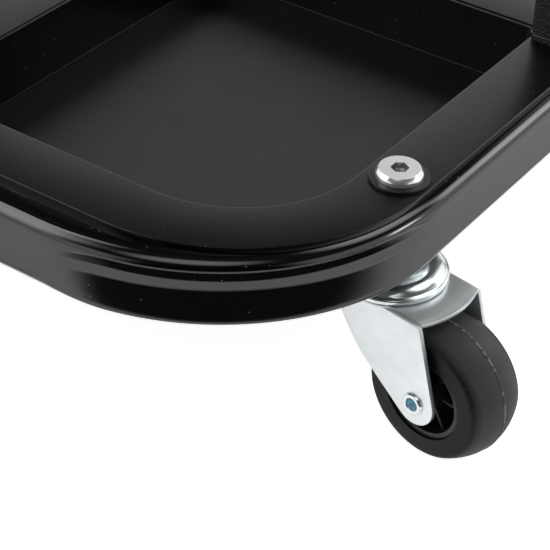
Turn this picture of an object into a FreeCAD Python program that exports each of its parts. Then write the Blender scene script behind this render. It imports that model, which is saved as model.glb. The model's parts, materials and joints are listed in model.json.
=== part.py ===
import FreeCAD, Part
import math
import os

# Creeper seat: a padded seat on an inverted U frame, over a tool tray on four swivel casters.
# Millimetres. The origin is on the floor under the middle of the seat and Z is up.
# X runs along the longer side of the base, and the front is at low Y.

# Tool tray: one moulded sheet with four compartments, lying on the base ring
recess_length = 161.0
recess_width = 141.6
recess_depth = 24.0
recess_corner = 43.8
recess_draft = 1.6
rib_width = 23.2
rib_corner = 8.0
ledge_width = 22.6
tray_corner = 68.6
tray_sheet = 2.0
rim_round = 3.0
floor_round = 3.5
lip_round = 0.8

# Base ring: square steel tube bent into a closed rounded rectangle
ring_tube = 22.8
ring_wall = 1.5
ring_edge = 3.0
ring_bend = 84.6
ring_margin_x = 11.1
ring_margin_y = 4.5

# Casters: where they stand and how they trail
stem_setback = 73.2
stem_inset = 11.8
toe_angle = 9.5
trail = 25.5
caster_height = 66.3

# Wheel: a crowned tread on a dished hub
wheel_diameter = 50.0
wheel_width = 22.7
tread_crown = 3.5
tread_edge = 0.7
hub_radius = 14.9
hub_rim = 2.0
hub_inset = 0.8
hub_web = 3.2
hub_boss = 5.4
hub_rib = 1.4
hub_rib_inset = 4.2
hub_ribs = 6

# Fork: pressed sheet with a round top, two tapering cheeks and a bowed front edge
fork_sheet = 2.0
fork_top_gap = 3.2
fork_side_gap = 1.6
fork_front = 24.6
fork_bow = 2.8
fork_back = 12.0
fork_eye = 7.8
fork_fold = 2.6
fork_fold_inside = 0.6
fork_disc = 17.6
knee_x_share = 0.12
knee_z_share = 0.226
flank_x_share = 0.62
flank_z_share = 0.63

# Axle: a flanged sleeve through the wheel, closed by a screw from the other side
axle_radius = 3.0
axle_flange = 4.1
axle_flange_height = 1.2
axle_screw = 2.2
axle_screw_recess = 0.5
axle_head = 4.0
axle_head_height = 2.0
axle_key = 1.25
axle_key_depth = 1.3

# Swivel bearing: a pressed cap above, a pressed race below and a ring of balls between
kingpin_radius = 4.0
kingpin_head = 6.5
kingpin_head_height = 1.5
stem_hex = 17.0
stem_hex_height = 5.0
stem_flange = 11.5
stem_flange_height = 1.4
cap_sheet = 1.4
cap_radius = 18.6
cap_bead = 0.85
cap_skirt = 3.3
cap_crest_rise = 0.4
cap_dish = 12.4
cap_crest = 13.8
race_sheet = 0.7
race_lip = 0.8
race_inner = 9.8
race_outer = 16.4
ball_pitch = 13.6
ball_spacing_share = 1.12

# Stem nut: a low round head with a hex socket, on a sleeve that takes the stem's thread
nut_head = 7.6
nut_head_top = 6.45
nut_rim_height = 1.4
nut_head_height = 3.0
nut_top_edge = 0.25
nut_sleeve = 5.0
nut_sleeve_length = 16.0
nut_key = 5.0
nut_key_depth = 2.2
nut_washer = 9.6
nut_washer_sheet = 1.0
stem_end_gap = 1.0

# Seat frame: one rectangular tube bent into an inverted U, with a plate welded in each foot
leg_width = 40.0
leg_depth = 20.0
leg_wall = 2.0
leg_edge = 3.0
leg_inset = 0.5
leg_bend = 45.0
foot_sheet = 2.0
foot_bolt_pitch = 22.0

# Feet bolts with their washers and weld nuts, and the bolts that hold the seat plate
bolt_radius = 3.0
bolt_hex = 10.0
bolt_head_height = 4.0
bolt_tail = 1.5
nut_height = 5.0
washer_radius = 6.2
washer_sheet = 1.2
frame_bolt_pitch = 110.0
cup_head = 7.5
cup_head_height = 2.6

# Seat plate, plywood board and the screws between them
seat_height = 385.0
plate_length = 220.0
plate_width = 170.0
plate_sheet = 3.0
plate_corner = 18.0
board_sheet = 12.0
board_screw_inset_x = 18.0
board_screw_inset_y = 19.0
board_screw_head = 5.5
board_screw_head_height = 3.2
board_screw_key = 4.0
tee_flange = 9.0
tee_flange_sheet = 1.2
tee_barrel = 4.0
tee_barrel_length = 8.5

# Cushion: foam with a crown and drawn-in sides, under a vinyl cover stapled below the board
pad_length = 362.0
pad_width = 338.0
pad_corner = 52.0
pad_draw = 5.0
pad_crown = 13.0
pad_side = 34.0
cover_skin = 1.4
cover_hem = 26.0
hem_corner_share = 0.5
soft_corner_share = 0.85
round_limit_share = 0.75
board_setback = 2.0
shoulder_inset = 16.0
shoulder_steps = 5
crown_shares = (0.22, 0.38, 0.56, 0.76)
staple_width = 10.0
staple_wire = 0.8
staple_leg = 7.0
staple_pitch = 48.0

# Clearances and the overrun of cutting tools
running_fit = 0.05
snug_fit = 0.05
hole_play = 0.2
bearing_gap = 0.3
soft_gap = 0.2
overrun = 5.0

# Plan of the base
tray_length = 2 * (recess_length + ledge_width) + rib_width
tray_width = 2 * (recess_width + ledge_width) + rib_width
ring_length = tray_length + 2 * ring_margin_x
ring_width = tray_width + 2 * ring_margin_y
stem_x = tray_length / 2 - stem_setback
stem_y = rib_width / 2 + recess_width + stem_inset

# Heights of the base
ring_top = caster_height + ring_tube
ledge_top = ring_top + tray_sheet
tray_floor = ledge_top - recess_depth
tray_bottom = tray_floor - tray_sheet

# Heights and half widths inside a caster
wheel_radius = wheel_diameter / 2
half_wheel = wheel_width / 2
fork_inside = half_wheel + fork_side_gap
fork_outside = fork_inside + fork_sheet
fork_ceiling = wheel_diameter + fork_top_gap
fork_top = fork_ceiling + fork_sheet
race_top = fork_top + race_sheet
cap_top = caster_height - stem_hex_height - stem_flange_height
cap_ceiling = cap_top + cap_crest_rise - cap_sheet
ball_radius = (cap_ceiling - race_top - bearing_gap) / 2
cap_bead_height = cap_top - cap_skirt
ball_height = race_top + ball_radius
ball_count = int(2 * math.pi * ball_pitch / (2 * ball_radius * ball_spacing_share))

# Heights of the frame and the seat
leg_foot = ledge_top + foot_sheet
leg_y = recess_width + rib_width / 2 + leg_inset + leg_depth / 2
pad_top = seat_height - cover_skin
board_top = pad_top - pad_crown - pad_side
board_bottom = board_top - board_sheet
plate_bottom = board_bottom - plate_sheet
frame_top = plate_bottom
frame_bolt_y = frame_bolt_pitch / 2
foot_bolt_x = foot_bolt_pitch / 2
board_screw_x = plate_length / 2 - board_screw_inset_x
board_screw_y = plate_width / 2 - board_screw_inset_y

ORIGIN = FreeCAD.Vector(0, 0, 0)
ALONG_X = FreeCAD.Vector(1, 0, 0)
ALONG_Y = FreeCAD.Vector(0, 1, 0)
ALONG_Z = FreeCAD.Vector(0, 0, 1)
CORNERS = {"front_left": (-1, -1), "front_right": (1, -1), "back_right": (1, 1), "back_left": (-1, 1)}


def point(x, y, z=0):
    return FreeCAD.Vector(x, y, z)


def arc(start, middle, end):
    return Part.Arc(start, middle, end).toShape()


def line(start, end):
    return Part.LineSegment(start, end).toShape()


def box(x_low, x_high, y_low, y_high, z_low, z_high):
    size = (x_high - x_low, y_high - y_low, z_high - z_low)
    return Part.makeBox(*size, point(x_low, y_low, z_low))


def cylinder(radius, x, y, z_low, z_high):
    return Part.makeCylinder(radius, z_high - z_low, point(x, y, z_low), ALONG_Z)


def cross_cylinder(radius, y_low, y_high):
    """A cylinder along Y on the wheel's axis, in the caster's own frame."""
    return Part.makeCylinder(radius, y_high - y_low, point(trail, y_low, wheel_radius), ALONG_Y)


def tube_ring(outer, inner, x, y, z_low, z_high):
    return cylinder(outer, x, y, z_low, z_high).cut(cylinder(inner, x, y, z_low - overrun, z_high + overrun))


def hexagon(across_flats, x, y, z_low, z_high):
    corner = across_flats / math.sqrt(3)
    angles = [math.radians(60 * side + 30) for side in range(7)]
    rim = [point(x + corner * math.cos(a), y + corner * math.sin(a), z_low) for a in angles]
    return Part.Face(Part.makePolygon(rim)).extrude(point(0, 0, z_high - z_low))


def lathe(outline, axis=ALONG_Z, centre=ORIGIN):
    """Turn a closed half outline, a list of edges, round an axis."""
    return Part.Face(Part.Wire(outline)).revolve(centre, axis, 360)


def chain(points):
    """Straight edges through points and back to the first one."""
    return [line(a, b) for a, b in zip(points, points[1:] + points[:1])]


def rounded_outline(x_low, x_high, y_low, y_high, radii, z=0):
    """A rectangle whose corner radii start at low X and low Y and run anticlockwise."""
    corners = [(x_low, y_low), (x_high, y_low), (x_high, y_high), (x_low, y_high)]
    edges = []
    tangents = []
    for index, ((x, y), radius) in enumerate(zip(corners, radii)):
        start = math.radians(180 + 90 * index)
        cx = x + radius * (1 if x == x_low else -1)
        cy = y + radius * (1 if y == y_low else -1)
        bend = [start + math.pi / 4 * step for step in range(3)]
        tangents.append([point(cx + radius * math.cos(a), cy + radius * math.sin(a), z) for a in bend])
    for index, bend in enumerate(tangents):
        edges.append(arc(*bend))
        edges.append(line(bend[2], tangents[(index + 1) % 4][0]))
    return Part.Wire(edges)


def centred_outline(length, width, radius, z=0):
    return rounded_outline(-length / 2, length / 2, -width / 2, width / 2, [radius] * 4, z)


def slab(length, width, radius, z_low, z_high):
    return Part.Face(centred_outline(length, width, radius, z_low)).extrude(point(0, 0, z_high - z_low))


def tube_section(length, width, edge, wall):
    """The ring-shaped section of a rectangular tube, flat at z = 0."""
    outer = Part.Face(centred_outline(length, width, edge))
    inner_edge = max(edge - wall, edge / 4)
    inner = Part.Face(centred_outline(length - 2 * wall, width - 2 * wall, inner_edge))
    return outer.cut(inner)


def placed(shape, rotation=None, move=ORIGIN):
    result = shape.copy()
    turn = FreeCAD.Placement(move, rotation or FreeCAD.Rotation())
    result.transformShape(turn.toMatrix())
    return result


def in_four(quarter):
    """A quarter with its mirror images over both vertical planes."""
    pair = [quarter, quarter.mirror(ORIGIN, ALONG_X)]
    return pair + [shape.mirror(ORIGIN, ALONG_Y) for shape in pair]


def joined(shapes):
    return shapes[0].fuse(shapes[1:]).removeSplitter()


def edges_where(shape, test):
    return [edge for edge in shape.Edges if test(edge)]


def lies_at(z):
    """A test for edges that lie flat at height z."""
    def test(edge):
        return abs(edge.BoundBox.ZMin - z) < snug_fit and abs(edge.BoundBox.ZMax - z) < snug_fit
    return test


def caster_places():
    """The name and the placement of each caster, whose own X runs from the stem to the wheel."""
    for name, (side_x, side_y) in CORNERS.items():
        toe = math.radians(toe_angle)
        heading = math.atan2(side_y * math.cos(toe), side_x * math.sin(toe))
        turn = FreeCAD.Rotation(ALONG_Z, math.degrees(heading))
        yield name, turn, point(side_x * stem_x, side_y * stem_y)


def foot_bolt_places():
    return [(side_x * foot_bolt_x, side_y * leg_y) for side_x in (-1, 1) for side_y in (-1, 1)]


def board_screw_places():
    return [(side_x * board_screw_x, side_y * board_screw_y) for side_x, side_y in CORNERS.values()]


def stem_places():
    return [(side_x * stem_x, side_y * stem_y) for side_x, side_y in CORNERS.values()]


def recess_solid(grow, top, bottom, round_edge):
    """One drafted compartment at high X and high Y, grown by a wall, with its floor edge rounded."""
    low = rib_width / 2
    drop_share = (ledge_top - bottom) / recess_depth
    rims = []
    for z, inset in ((top, -grow), (bottom, recess_draft * drop_share - grow)):
        limits = (low + inset, low + recess_length - inset, low + inset, low + recess_width - inset)
        small = rib_corner - inset
        rims.append(rounded_outline(*limits, [small, small, recess_corner - inset, small], z))
    solid = Part.makeLoft(rims, True, True)
    return solid.makeFillet(round_edge, edges_where(solid, lies_at(bottom)))


def tool_tray():
    plate = slab(tray_length, tray_width, tray_corner, ring_top, ledge_top)
    plate = plate.makeFillet(lip_round, edges_where(plate, lies_at(ledge_top)))
    outside = recess_solid(tray_sheet, ledge_top - lip_round, tray_bottom, floor_round + tray_sheet)
    inside = recess_solid(0, ledge_top, tray_floor, floor_round)
    tray = joined([plate] + in_four(outside))
    tray = tray.cut(in_four(inside))
    half_x = rib_width / 2 + recess_length + snug_fit
    half_y = rib_width / 2 + recess_width + snug_fit

    def recess_rim(edge):
        limits = edge.BoundBox
        inside_rims = max(abs(limits.XMin), abs(limits.XMax)) < half_x
        return lies_at(ledge_top)(edge) and inside_rims and max(abs(limits.YMin), abs(limits.YMax)) < half_y

    tray = tray.makeFillet(rim_round, edges_where(tray, recess_rim))
    holes = [cylinder(nut_sleeve + hole_play, x, y, ring_top - overrun, ledge_top + overrun)
             for x, y in stem_places()]
    holes += [cylinder(bolt_radius + hole_play, x, y, ring_top - overrun, ledge_top + overrun)
              for x, y in foot_bolt_places()]
    return tray.cut(holes)


def base_ring():
    section = tube_section(ring_tube, ring_tube, ring_edge, ring_wall)
    reach_x = ring_length / 2 - ring_bend
    reach_y = ring_width / 2 - ring_bend
    upright = FreeCAD.Rotation(ALONG_X, 90)
    middle_height = caster_height + ring_tube / 2
    end = placed(section, upright, point((ring_length - ring_tube) / 2, 0, middle_height))
    end_bar = end.extrude(point(0, reach_y, 0))
    turned = placed(end, move=point(0, reach_y, 0))
    bend = turned.revolve(point(reach_x, reach_y), ALONG_Z, 90)
    across = FreeCAD.Rotation(ALONG_Z, 90).multiply(upright)
    side = placed(section, across, point(0, (ring_width - ring_tube) / 2, middle_height))
    side_bar = side.extrude(point(reach_x, 0, 0))
    ring = joined(in_four(joined([end_bar, bend, side_bar])))
    holes = []
    for x, y in stem_places():
        holes.append(cylinder(nut_sleeve + hole_play, x, y, ring_top - 2 * ring_wall, ring_top + overrun))
        holes.append(cylinder(kingpin_radius + hole_play, x, y, caster_height - overrun,
                              caster_height + 2 * ring_wall))
    holes += [cylinder(bolt_radius + hole_play, x, y, caster_height - overrun, ring_top + overrun)
              for x, y in foot_bolt_places()]
    return ring.cut(holes)


def caster_stem():
    """Kingpin, collar and threaded stem in one, in the caster's own frame."""
    head_top = fork_ceiling - bearing_gap
    head = cylinder(kingpin_head, 0, 0, head_top - kingpin_head_height, head_top)
    head = head.makeChamfer(kingpin_head_height / 3, edges_where(head, lies_at(head_top - kingpin_head_height)))
    pin = cylinder(kingpin_radius, 0, 0, head_top, cap_top)
    flange = cylinder(stem_flange, 0, 0, cap_top, cap_top + stem_flange_height)
    collar = hexagon(stem_hex, 0, 0, cap_top + stem_flange_height, caster_height)
    stem_end = ledge_top + nut_washer_sheet + nut_head_height - nut_key_depth - stem_end_gap
    thread = cylinder(kingpin_radius - snug_fit, 0, 0, caster_height, stem_end)
    thread = thread.makeChamfer(stem_end_gap / 2, edges_where(thread, lies_at(stem_end)))
    return joined([head, pin, flange, collar, thread])


def race_cap():
    """Domed cap with a dished middle and a rolled rim."""
    bore = kingpin_radius + snug_fit
    crest_z = cap_top + cap_crest_rise
    bead_r = cap_radius - cap_bead
    skirt_z = cap_bead_height + cap_bead / 2
    shoulder = math.cos(math.pi / 4)
    top_mid = point(cap_crest + (bead_r - cap_crest) * shoulder, 0, skirt_z + (crest_z - skirt_z) * shoulder)
    low_r = bead_r - cap_sheet
    low_crest = crest_z - cap_sheet
    low_mid = point(cap_crest + (low_r - cap_crest) * shoulder, 0, skirt_z + (low_crest - skirt_z) * shoulder)
    outline = [
        line(point(bore, 0, cap_top), point(cap_dish, 0, cap_top)),
        line(point(cap_dish, 0, cap_top), point(cap_crest, 0, crest_z)),
        arc(point(cap_crest, 0, crest_z), top_mid, point(bead_r, 0, skirt_z)),
        line(point(bead_r, 0, skirt_z), point(low_r, 0, skirt_z)),
        arc(point(low_r, 0, skirt_z), low_mid, point(cap_crest, 0, low_crest)),
        line(point(cap_crest, 0, low_crest), point(cap_dish, 0, cap_top - cap_sheet)),
        line(point(cap_dish, 0, cap_top - cap_sheet), point(bore, 0, cap_top - cap_sheet)),
        line(point(bore, 0, cap_top - cap_sheet), point(bore, 0, cap_top)),
    ]
    bead = Part.makeTorus(bead_r, cap_bead, point(0, 0, cap_bead_height))
    return joined([lathe(outline), bead])


def ball_ring():
    turns = [2 * math.pi * index / ball_count for index in range(ball_count)]
    centres = [point(ball_pitch * math.cos(a), ball_pitch * math.sin(a), ball_height) for a in turns]
    return Part.makeCompound([Part.makeSphere(ball_radius - snug_fit, centre) for centre in centres])


def lower_race():
    """Pressed ring with an inner and an outer lip that keep the balls in line."""
    lip_top = race_top + race_lip
    outline = [(race_inner, fork_top), (race_outer, fork_top), (race_outer, lip_top),
               (race_outer - race_lip, lip_top), (race_outer - race_lip, race_top),
               (race_inner + race_lip, race_top), (race_inner + race_lip, lip_top), (race_inner, lip_top)]
    return lathe(chain([point(r, 0, z) for r, z in outline]))


def tangent_point(x, z, radius, side):
    """Where a line from (x, z) touches the circle round the axle, on the front or the back of it."""
    dx = x - trail
    dz = z - wheel_radius
    away = math.hypot(dx, dz)
    angle = math.atan2(dz, dx) - side * math.acos(radius / away)
    return point(trail + radius * math.cos(angle), 0, wheel_radius + radius * math.sin(angle))


def fork_cheek_outline():
    """Side view of the fork: a slanted front edge, a round eye and a bowed back edge."""
    front = point(fork_front, 0, fork_top)
    back = point(-fork_back, 0, fork_top)
    knee = point(trail * knee_x_share, 0, wheel_radius + (fork_top - wheel_radius) * knee_z_share)
    flank = point(knee.x - (knee.x + fork_back) * flank_x_share, 0, knee.z + (fork_top - knee.z) * flank_z_share / 2)
    front_touch = tangent_point(front.x, front.z, fork_eye, 1)
    back_touch = tangent_point(knee.x, knee.z, fork_eye, -1)
    eye_bottom = point(trail, 0, wheel_radius - fork_eye)
    edges = [line(back, front), line(front, front_touch), arc(front_touch, eye_bottom, back_touch)]
    edges += [line(back_touch, knee), arc(knee, flank, back)]
    return Part.Wire(edges)


def caster_fork():
    eye_bottom = wheel_radius - fork_eye
    outer = box(-fork_back, trail + fork_eye, -fork_outside, fork_outside, eye_bottom, fork_top)
    inner = box(-fork_back - overrun, trail + fork_eye + overrun, -fork_inside, fork_inside,
                eye_bottom - overrun, fork_ceiling)

    def runs_along_x_at(z):
        return lambda edge: lies_at(z)(edge) and edge.BoundBox.YLength < snug_fit

    outer = outer.makeFillet(fork_fold, edges_where(outer, runs_along_x_at(fork_top)))
    inner = inner.makeFillet(fork_fold_inside, edges_where(inner, runs_along_x_at(fork_ceiling)))
    side_view = Part.Face(fork_cheek_outline()).extrude(point(0, 2 * fork_outside, 0))
    side_view = placed(side_view, move=point(0, -fork_outside, 0))
    channel = outer.cut(inner).common(side_view)
    half_front = fork_outside - fork_fold
    bow = [arc(point(fork_front, -half_front), point(fork_front + fork_bow, 0), point(fork_front, half_front)),
           line(point(fork_front, half_front), point(fork_front - fork_bow, half_front)),
           line(point(fork_front - fork_bow, half_front), point(fork_front - fork_bow, -half_front)),
           line(point(fork_front - fork_bow, -half_front), point(fork_front, -half_front))]
    front_edge = Part.Face(Part.Wire(bow)).extrude(point(0, 0, fork_sheet))
    front_edge = placed(front_edge, move=point(0, 0, fork_ceiling))
    disc = cylinder(fork_disc, 0, 0, fork_ceiling, fork_top)
    fork = joined([channel, front_edge, disc])
    fork = fork.cut(cylinder(kingpin_radius + running_fit, 0, 0, fork_ceiling - overrun, fork_top + overrun))
    return fork.cut(cross_cylinder(axle_radius + snug_fit, -fork_outside - overrun, fork_outside + overrun))


def axle_sleeve():
    flange = cross_cylinder(axle_flange, -fork_outside - axle_flange_height, -fork_outside)
    barrel = cross_cylinder(axle_radius, -fork_outside, fork_outside - snug_fit)
    bore = cross_cylinder(axle_screw + snug_fit, -fork_outside - overrun, fork_outside + overrun)
    return joined([flange, barrel]).cut(bore)


def axle_screw_piece():
    tip = -fork_outside - axle_flange_height + axle_screw_recess
    shank = cross_cylinder(axle_screw, tip, fork_outside)
    head = cross_cylinder(axle_head, fork_outside, fork_outside + axle_head_height)
    far = fork_outside + axle_head_height
    rim = edges_where(head, lambda edge: edge.BoundBox.YMin > far - snug_fit)
    head = head.makeFillet(axle_head_height / 3, rim)
    key = placed(hexagon(2 * axle_key, 0, 0, 0, overrun), FreeCAD.Rotation(ALONG_X, -90),
                 point(trail, far - axle_key_depth, wheel_radius))
    return joined([shank, head]).cut(key)


def wheel_tread():
    bore = hub_radius + snug_fit
    shoulder = wheel_radius - tread_crown
    edges = [arc(point(shoulder, -half_wheel), point(wheel_radius, 0), point(shoulder, half_wheel)),
             line(point(shoulder, half_wheel), point(bore, half_wheel)),
             line(point(bore, half_wheel), point(bore, -half_wheel)),
             line(point(bore, -half_wheel), point(shoulder, -half_wheel))]
    tread = lathe(edges, ALONG_Y)

    def shoulder_edge(edge):
        return edge.BoundBox.YLength < snug_fit and edge.BoundBox.ZMax > shoulder - snug_fit

    tread = tread.makeFillet(tread_edge, edges_where(tread, shoulder_edge))
    return placed(tread, move=point(trail, 0, wheel_radius))


def wheel_hub():
    rim_half = half_wheel - hub_inset
    boss_half = half_wheel + fork_side_gap / 2
    rim_inner = hub_radius - hub_rim
    web_half = hub_web / 2
    bore = axle_radius + running_fit
    half = [(bore, boss_half), (hub_boss, boss_half), (hub_boss, web_half), (rim_inner, web_half),
            (rim_inner, rim_half), (hub_radius, rim_half)]
    outline = half + [(r, -y) for r, y in reversed(half)]
    pieces = [lathe(chain([point(r, y) for r, y in outline]), ALONG_Y)]
    rib_half = half_wheel - hub_rib_inset
    middle = (hub_boss + rim_inner) / 2
    reach = (rim_inner - hub_boss) / 2 + hub_rim / 2
    rib = box(middle - reach, middle + reach, -rib_half, rib_half, -hub_rib / 2, hub_rib / 2)
    for index in range(hub_ribs):
        pieces.append(placed(rib, FreeCAD.Rotation(ALONG_Y, 360 / hub_ribs * index)))
    return placed(joined(pieces), move=point(trail, 0, wheel_radius))


def cap_nuts():
    """Round heads with hex sockets, and the threaded sleeves below them."""
    base = ledge_top + nut_washer_sheet
    top = base + nut_head_height
    bore = kingpin_radius
    outline = [(bore, base), (nut_head, base), (nut_head, base + nut_rim_height),
               (nut_head_top + nut_top_edge, top - nut_top_edge), (nut_head_top, top), (0, top),
               (0, top - nut_key_depth), (bore, top - nut_key_depth)]
    head = lathe(chain([point(r, 0, z) for r, z in outline]))
    socket = hexagon(nut_key, 0, 0, top - nut_key_depth - overrun, top + overrun)
    sleeve = tube_ring(nut_sleeve, bore, 0, 0, base - nut_sleeve_length, base)
    nut = joined([head, sleeve]).cut(socket)
    return Part.makeCompound([placed(nut, move=point(x, y)) for x, y in stem_places()])


def stem_washers():
    rings = [tube_ring(nut_washer, nut_sleeve + hole_play, x, y, ledge_top, ledge_top + nut_washer_sheet)
             for x, y in stem_places()]
    rim = outer_rim(nut_washer, ledge_top + nut_washer_sheet)
    return Part.makeCompound([ring.makeFillet(nut_washer_sheet / 3, edges_where(ring, rim)) for ring in rings])


def outer_rim(radius, z):
    """A test for the round edge of one radius at height z."""
    def test(edge):
        return lies_at(z)(edge) and abs(edge.BoundBox.XLength - 2 * radius) < snug_fit
    return test


def seat_frame():
    section = tube_section(leg_width, leg_depth, leg_edge, leg_wall)
    bend_z = frame_top - leg_depth / 2 - leg_bend
    bend_y = leg_y - leg_bend
    foot = placed(section, move=point(0, leg_y, leg_foot))
    leg = foot.extrude(point(0, 0, bend_z - leg_foot))
    corner = placed(section, move=point(0, leg_y, bend_z)).revolve(point(0, bend_y, bend_z), ALONG_X, 90)
    upright = FreeCAD.Rotation(ALONG_X, 90)
    bar = placed(section, upright, point(0, bend_y, frame_top - leg_depth / 2)).extrude(point(0, -bend_y, 0))
    half = joined([leg, corner, bar])
    frame = joined([half, half.mirror(ORIGIN, ALONG_Y)])
    holes = [cylinder(bolt_radius + hole_play, 0, side * frame_bolt_y, frame_top - leg_depth - overrun,
                      frame_top + overrun) for side in (-1, 1)]
    return frame.cut(holes)


def foot_plates():
    plate = slab(leg_width, leg_depth, leg_edge, ledge_top, leg_foot)
    plates = [placed(plate, move=point(0, side * leg_y)) for side in (-1, 1)]
    holes = [cylinder(bolt_radius + hole_play, x, y, ledge_top - overrun, leg_foot + overrun)
             for x, y in foot_bolt_places()]
    return Part.makeCompound([shape.cut(holes) for shape in plates])


def foot_bolts():
    """Hex bolts that come up through the ring, the tray and the foot plates."""
    seat = caster_height - washer_sheet
    tip = leg_foot + nut_height + bolt_tail
    bolts = []
    for x, y in foot_bolt_places():
        head = hexagon(bolt_hex, x, y, seat - bolt_head_height, seat)
        shank = cylinder(bolt_radius, x, y, seat, tip)
        shank = shank.makeChamfer(bolt_radius / 5, edges_where(shank, lies_at(tip)))
        bolts.append(joined([head, shank]))
    return Part.makeCompound(bolts)


def foot_washers():
    return Part.makeCompound([tube_ring(washer_radius, bolt_radius + hole_play, x, y,
                                        caster_height - washer_sheet, caster_height)
                              for x, y in foot_bolt_places()])


def foot_nuts():
    nuts = []
    for x, y in foot_bolt_places():
        nut = hexagon(bolt_hex, x, y, leg_foot, leg_foot + nut_height)
        nuts.append(nut.cut(cylinder(bolt_radius + snug_fit, x, y, leg_foot - overrun, leg_foot + 2 * overrun)))
    return Part.makeCompound(nuts)


def frame_bolt_places():
    return [(0, side * frame_bolt_y) for side in (-1, 1)]


def seat_plate():
    plate = slab(plate_length, plate_width, plate_corner, plate_bottom, board_bottom)
    places = frame_bolt_places() + board_screw_places()
    holes = [cylinder(bolt_radius + hole_play, x, y, plate_bottom - overrun, board_bottom + overrun)
             for x, y in places]
    return plate.cut(holes)


def frame_bolts():
    """Cup head bolts down through the seat plate and the cross bar."""
    tip = frame_top - leg_depth - washer_sheet - nut_height - bolt_tail
    bolts = []
    for x, y in frame_bolt_places():
        head = cylinder(cup_head, x, y, board_bottom, board_bottom + cup_head_height)
        head = head.makeFillet(cup_head_height * 2 / 3, edges_where(head, lies_at(board_bottom + cup_head_height)))
        bolts.append(joined([head, cylinder(bolt_radius, x, y, tip, board_bottom)]))
    return Part.makeCompound(bolts)


def frame_washers():
    low = frame_top - leg_depth - washer_sheet
    return Part.makeCompound([tube_ring(washer_radius, bolt_radius + hole_play, x, y, low, low + washer_sheet)
                              for x, y in frame_bolt_places()])


def frame_nuts():
    top = frame_top - leg_depth - washer_sheet
    nuts = []
    for x, y in frame_bolt_places():
        nut = hexagon(bolt_hex, x, y, top - nut_height, top)
        nuts.append(nut.cut(cylinder(bolt_radius + snug_fit, x, y, top - 2 * overrun, top + overrun)))
    return Part.makeCompound(nuts)


def seat_board():
    setback = cover_skin + board_setback
    outline = cushion_outline(setback, board_bottom)
    board = Part.Face(outline).extrude(point(0, 0, board_sheet))
    cuts = [cylinder(cup_head + hole_play, x, y, board_bottom - overrun, board_bottom + cup_head_height + hole_play)
            for x, y in frame_bolt_places()]
    for x, y in board_screw_places():
        cuts.append(cylinder(tee_barrel + hole_play, x, y, board_bottom - overrun, board_top + overrun))
        cuts.append(cylinder(tee_flange + hole_play, x, y, board_top - tee_flange_sheet, board_top + overrun))
    return board.cut(cuts)


def tee_nuts():
    nuts = []
    for x, y in board_screw_places():
        flange = cylinder(tee_flange, x, y, board_top - tee_flange_sheet, board_top)
        barrel = cylinder(tee_barrel, x, y, board_top - tee_barrel_length, board_top - tee_flange_sheet)
        bore = cylinder(bolt_radius + snug_fit, x, y, board_bottom - overrun, board_top + overrun)
        nuts.append(joined([flange, barrel]).cut(bore))
    return Part.makeCompound(nuts)


def board_screws():
    """Button head screws up through the seat plate into the tee nuts."""
    tip = board_top - tee_flange_sheet
    screws = []
    for x, y in board_screw_places():
        low = plate_bottom - board_screw_head_height
        head = cylinder(board_screw_head, x, y, low, plate_bottom)
        head = head.makeFillet(board_screw_head_height / 2, edges_where(head, lies_at(low)))
        screw = joined([head, cylinder(bolt_radius, x, y, plate_bottom, tip)])
        key_top = low + board_screw_head_height / 2
        screws.append(screw.cut(hexagon(board_screw_key, x, y, low - overrun, key_top)))
    return Part.makeCompound(screws)


def cushion_outline(inset, z):
    """The pad's plan outline at one height: bowed sides drawn in between round corners."""
    half_x = pad_length / 2 - inset
    half_y = pad_width / 2 - inset
    radius = max(pad_corner - inset, pad_corner * soft_corner_share)
    radius = min(radius, half_x * round_limit_share, half_y * round_limit_share)
    straight_x = half_x - radius
    straight_y = half_y - radius
    draw = min(pad_draw, straight_x / 4, straight_y / 4)
    diagonal = radius * math.cos(math.pi / 4)
    edges = []
    for sx, sy in ((1, -1), (1, 1), (-1, 1), (-1, -1)):
        side_end = point(sx * half_x, sy * straight_y, z)
        cap_end = point(sx * straight_x, sy * half_y, z)
        middle = point(sx * (straight_x + diagonal), sy * (straight_y + diagonal), z)
        if sx == sy:
            edges.append(arc(side_end, middle, cap_end))
            edges.append(arc(cap_end, point(0, sy * (half_y - draw), z), point(-cap_end.x, cap_end.y, z)))
        else:
            edges.append(arc(cap_end, middle, side_end))
            edges.append(arc(side_end, point(sx * (half_x - draw), 0, z), point(side_end.x, -side_end.y, z)))
    return Part.Wire(edges)


def cushion(skin, bottom):
    """Crowned pad: upright sides, a round shoulder and a dome that rises to the middle."""
    inset = cover_skin - skin
    lift = skin
    seam = board_top + pad_side
    levels = [(inset, bottom), (inset, board_top + (pad_side - shoulder_inset) / 2)]
    for step in range(shoulder_steps + 1):
        turn = math.pi / 2 * step / shoulder_steps * (1 - 1 / (2 * shoulder_steps))
        run_in = shoulder_inset * (1 - math.cos(turn))
        rise = shoulder_inset * math.sin(turn)
        levels.append((inset + run_in, seam - shoulder_inset + rise + lift))
    reach = pad_width / 2
    for share in crown_shares:
        rise = pad_crown * math.sin(math.pi / 2 * share / crown_shares[-1])
        levels.append((inset + reach * share, seam + rise + lift))
    return Part.makeLoft([cushion_outline(run_in, z) for run_in, z in levels], True, True)


def seat_foam():
    return cushion(-soft_gap, board_top)


def seat_cover():
    """Vinyl skin over the foam and round the board, with a hem turned in under it."""
    hem_bottom = board_bottom - cover_skin
    shell = cushion(cover_skin, hem_bottom)
    cavity = cushion(0, board_bottom)
    window = slab(pad_length - 2 * cover_hem, pad_width - 2 * cover_hem, pad_corner * hem_corner_share,
                  hem_bottom - overrun, board_bottom + overrun)
    return shell.cut([cavity, window])


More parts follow.
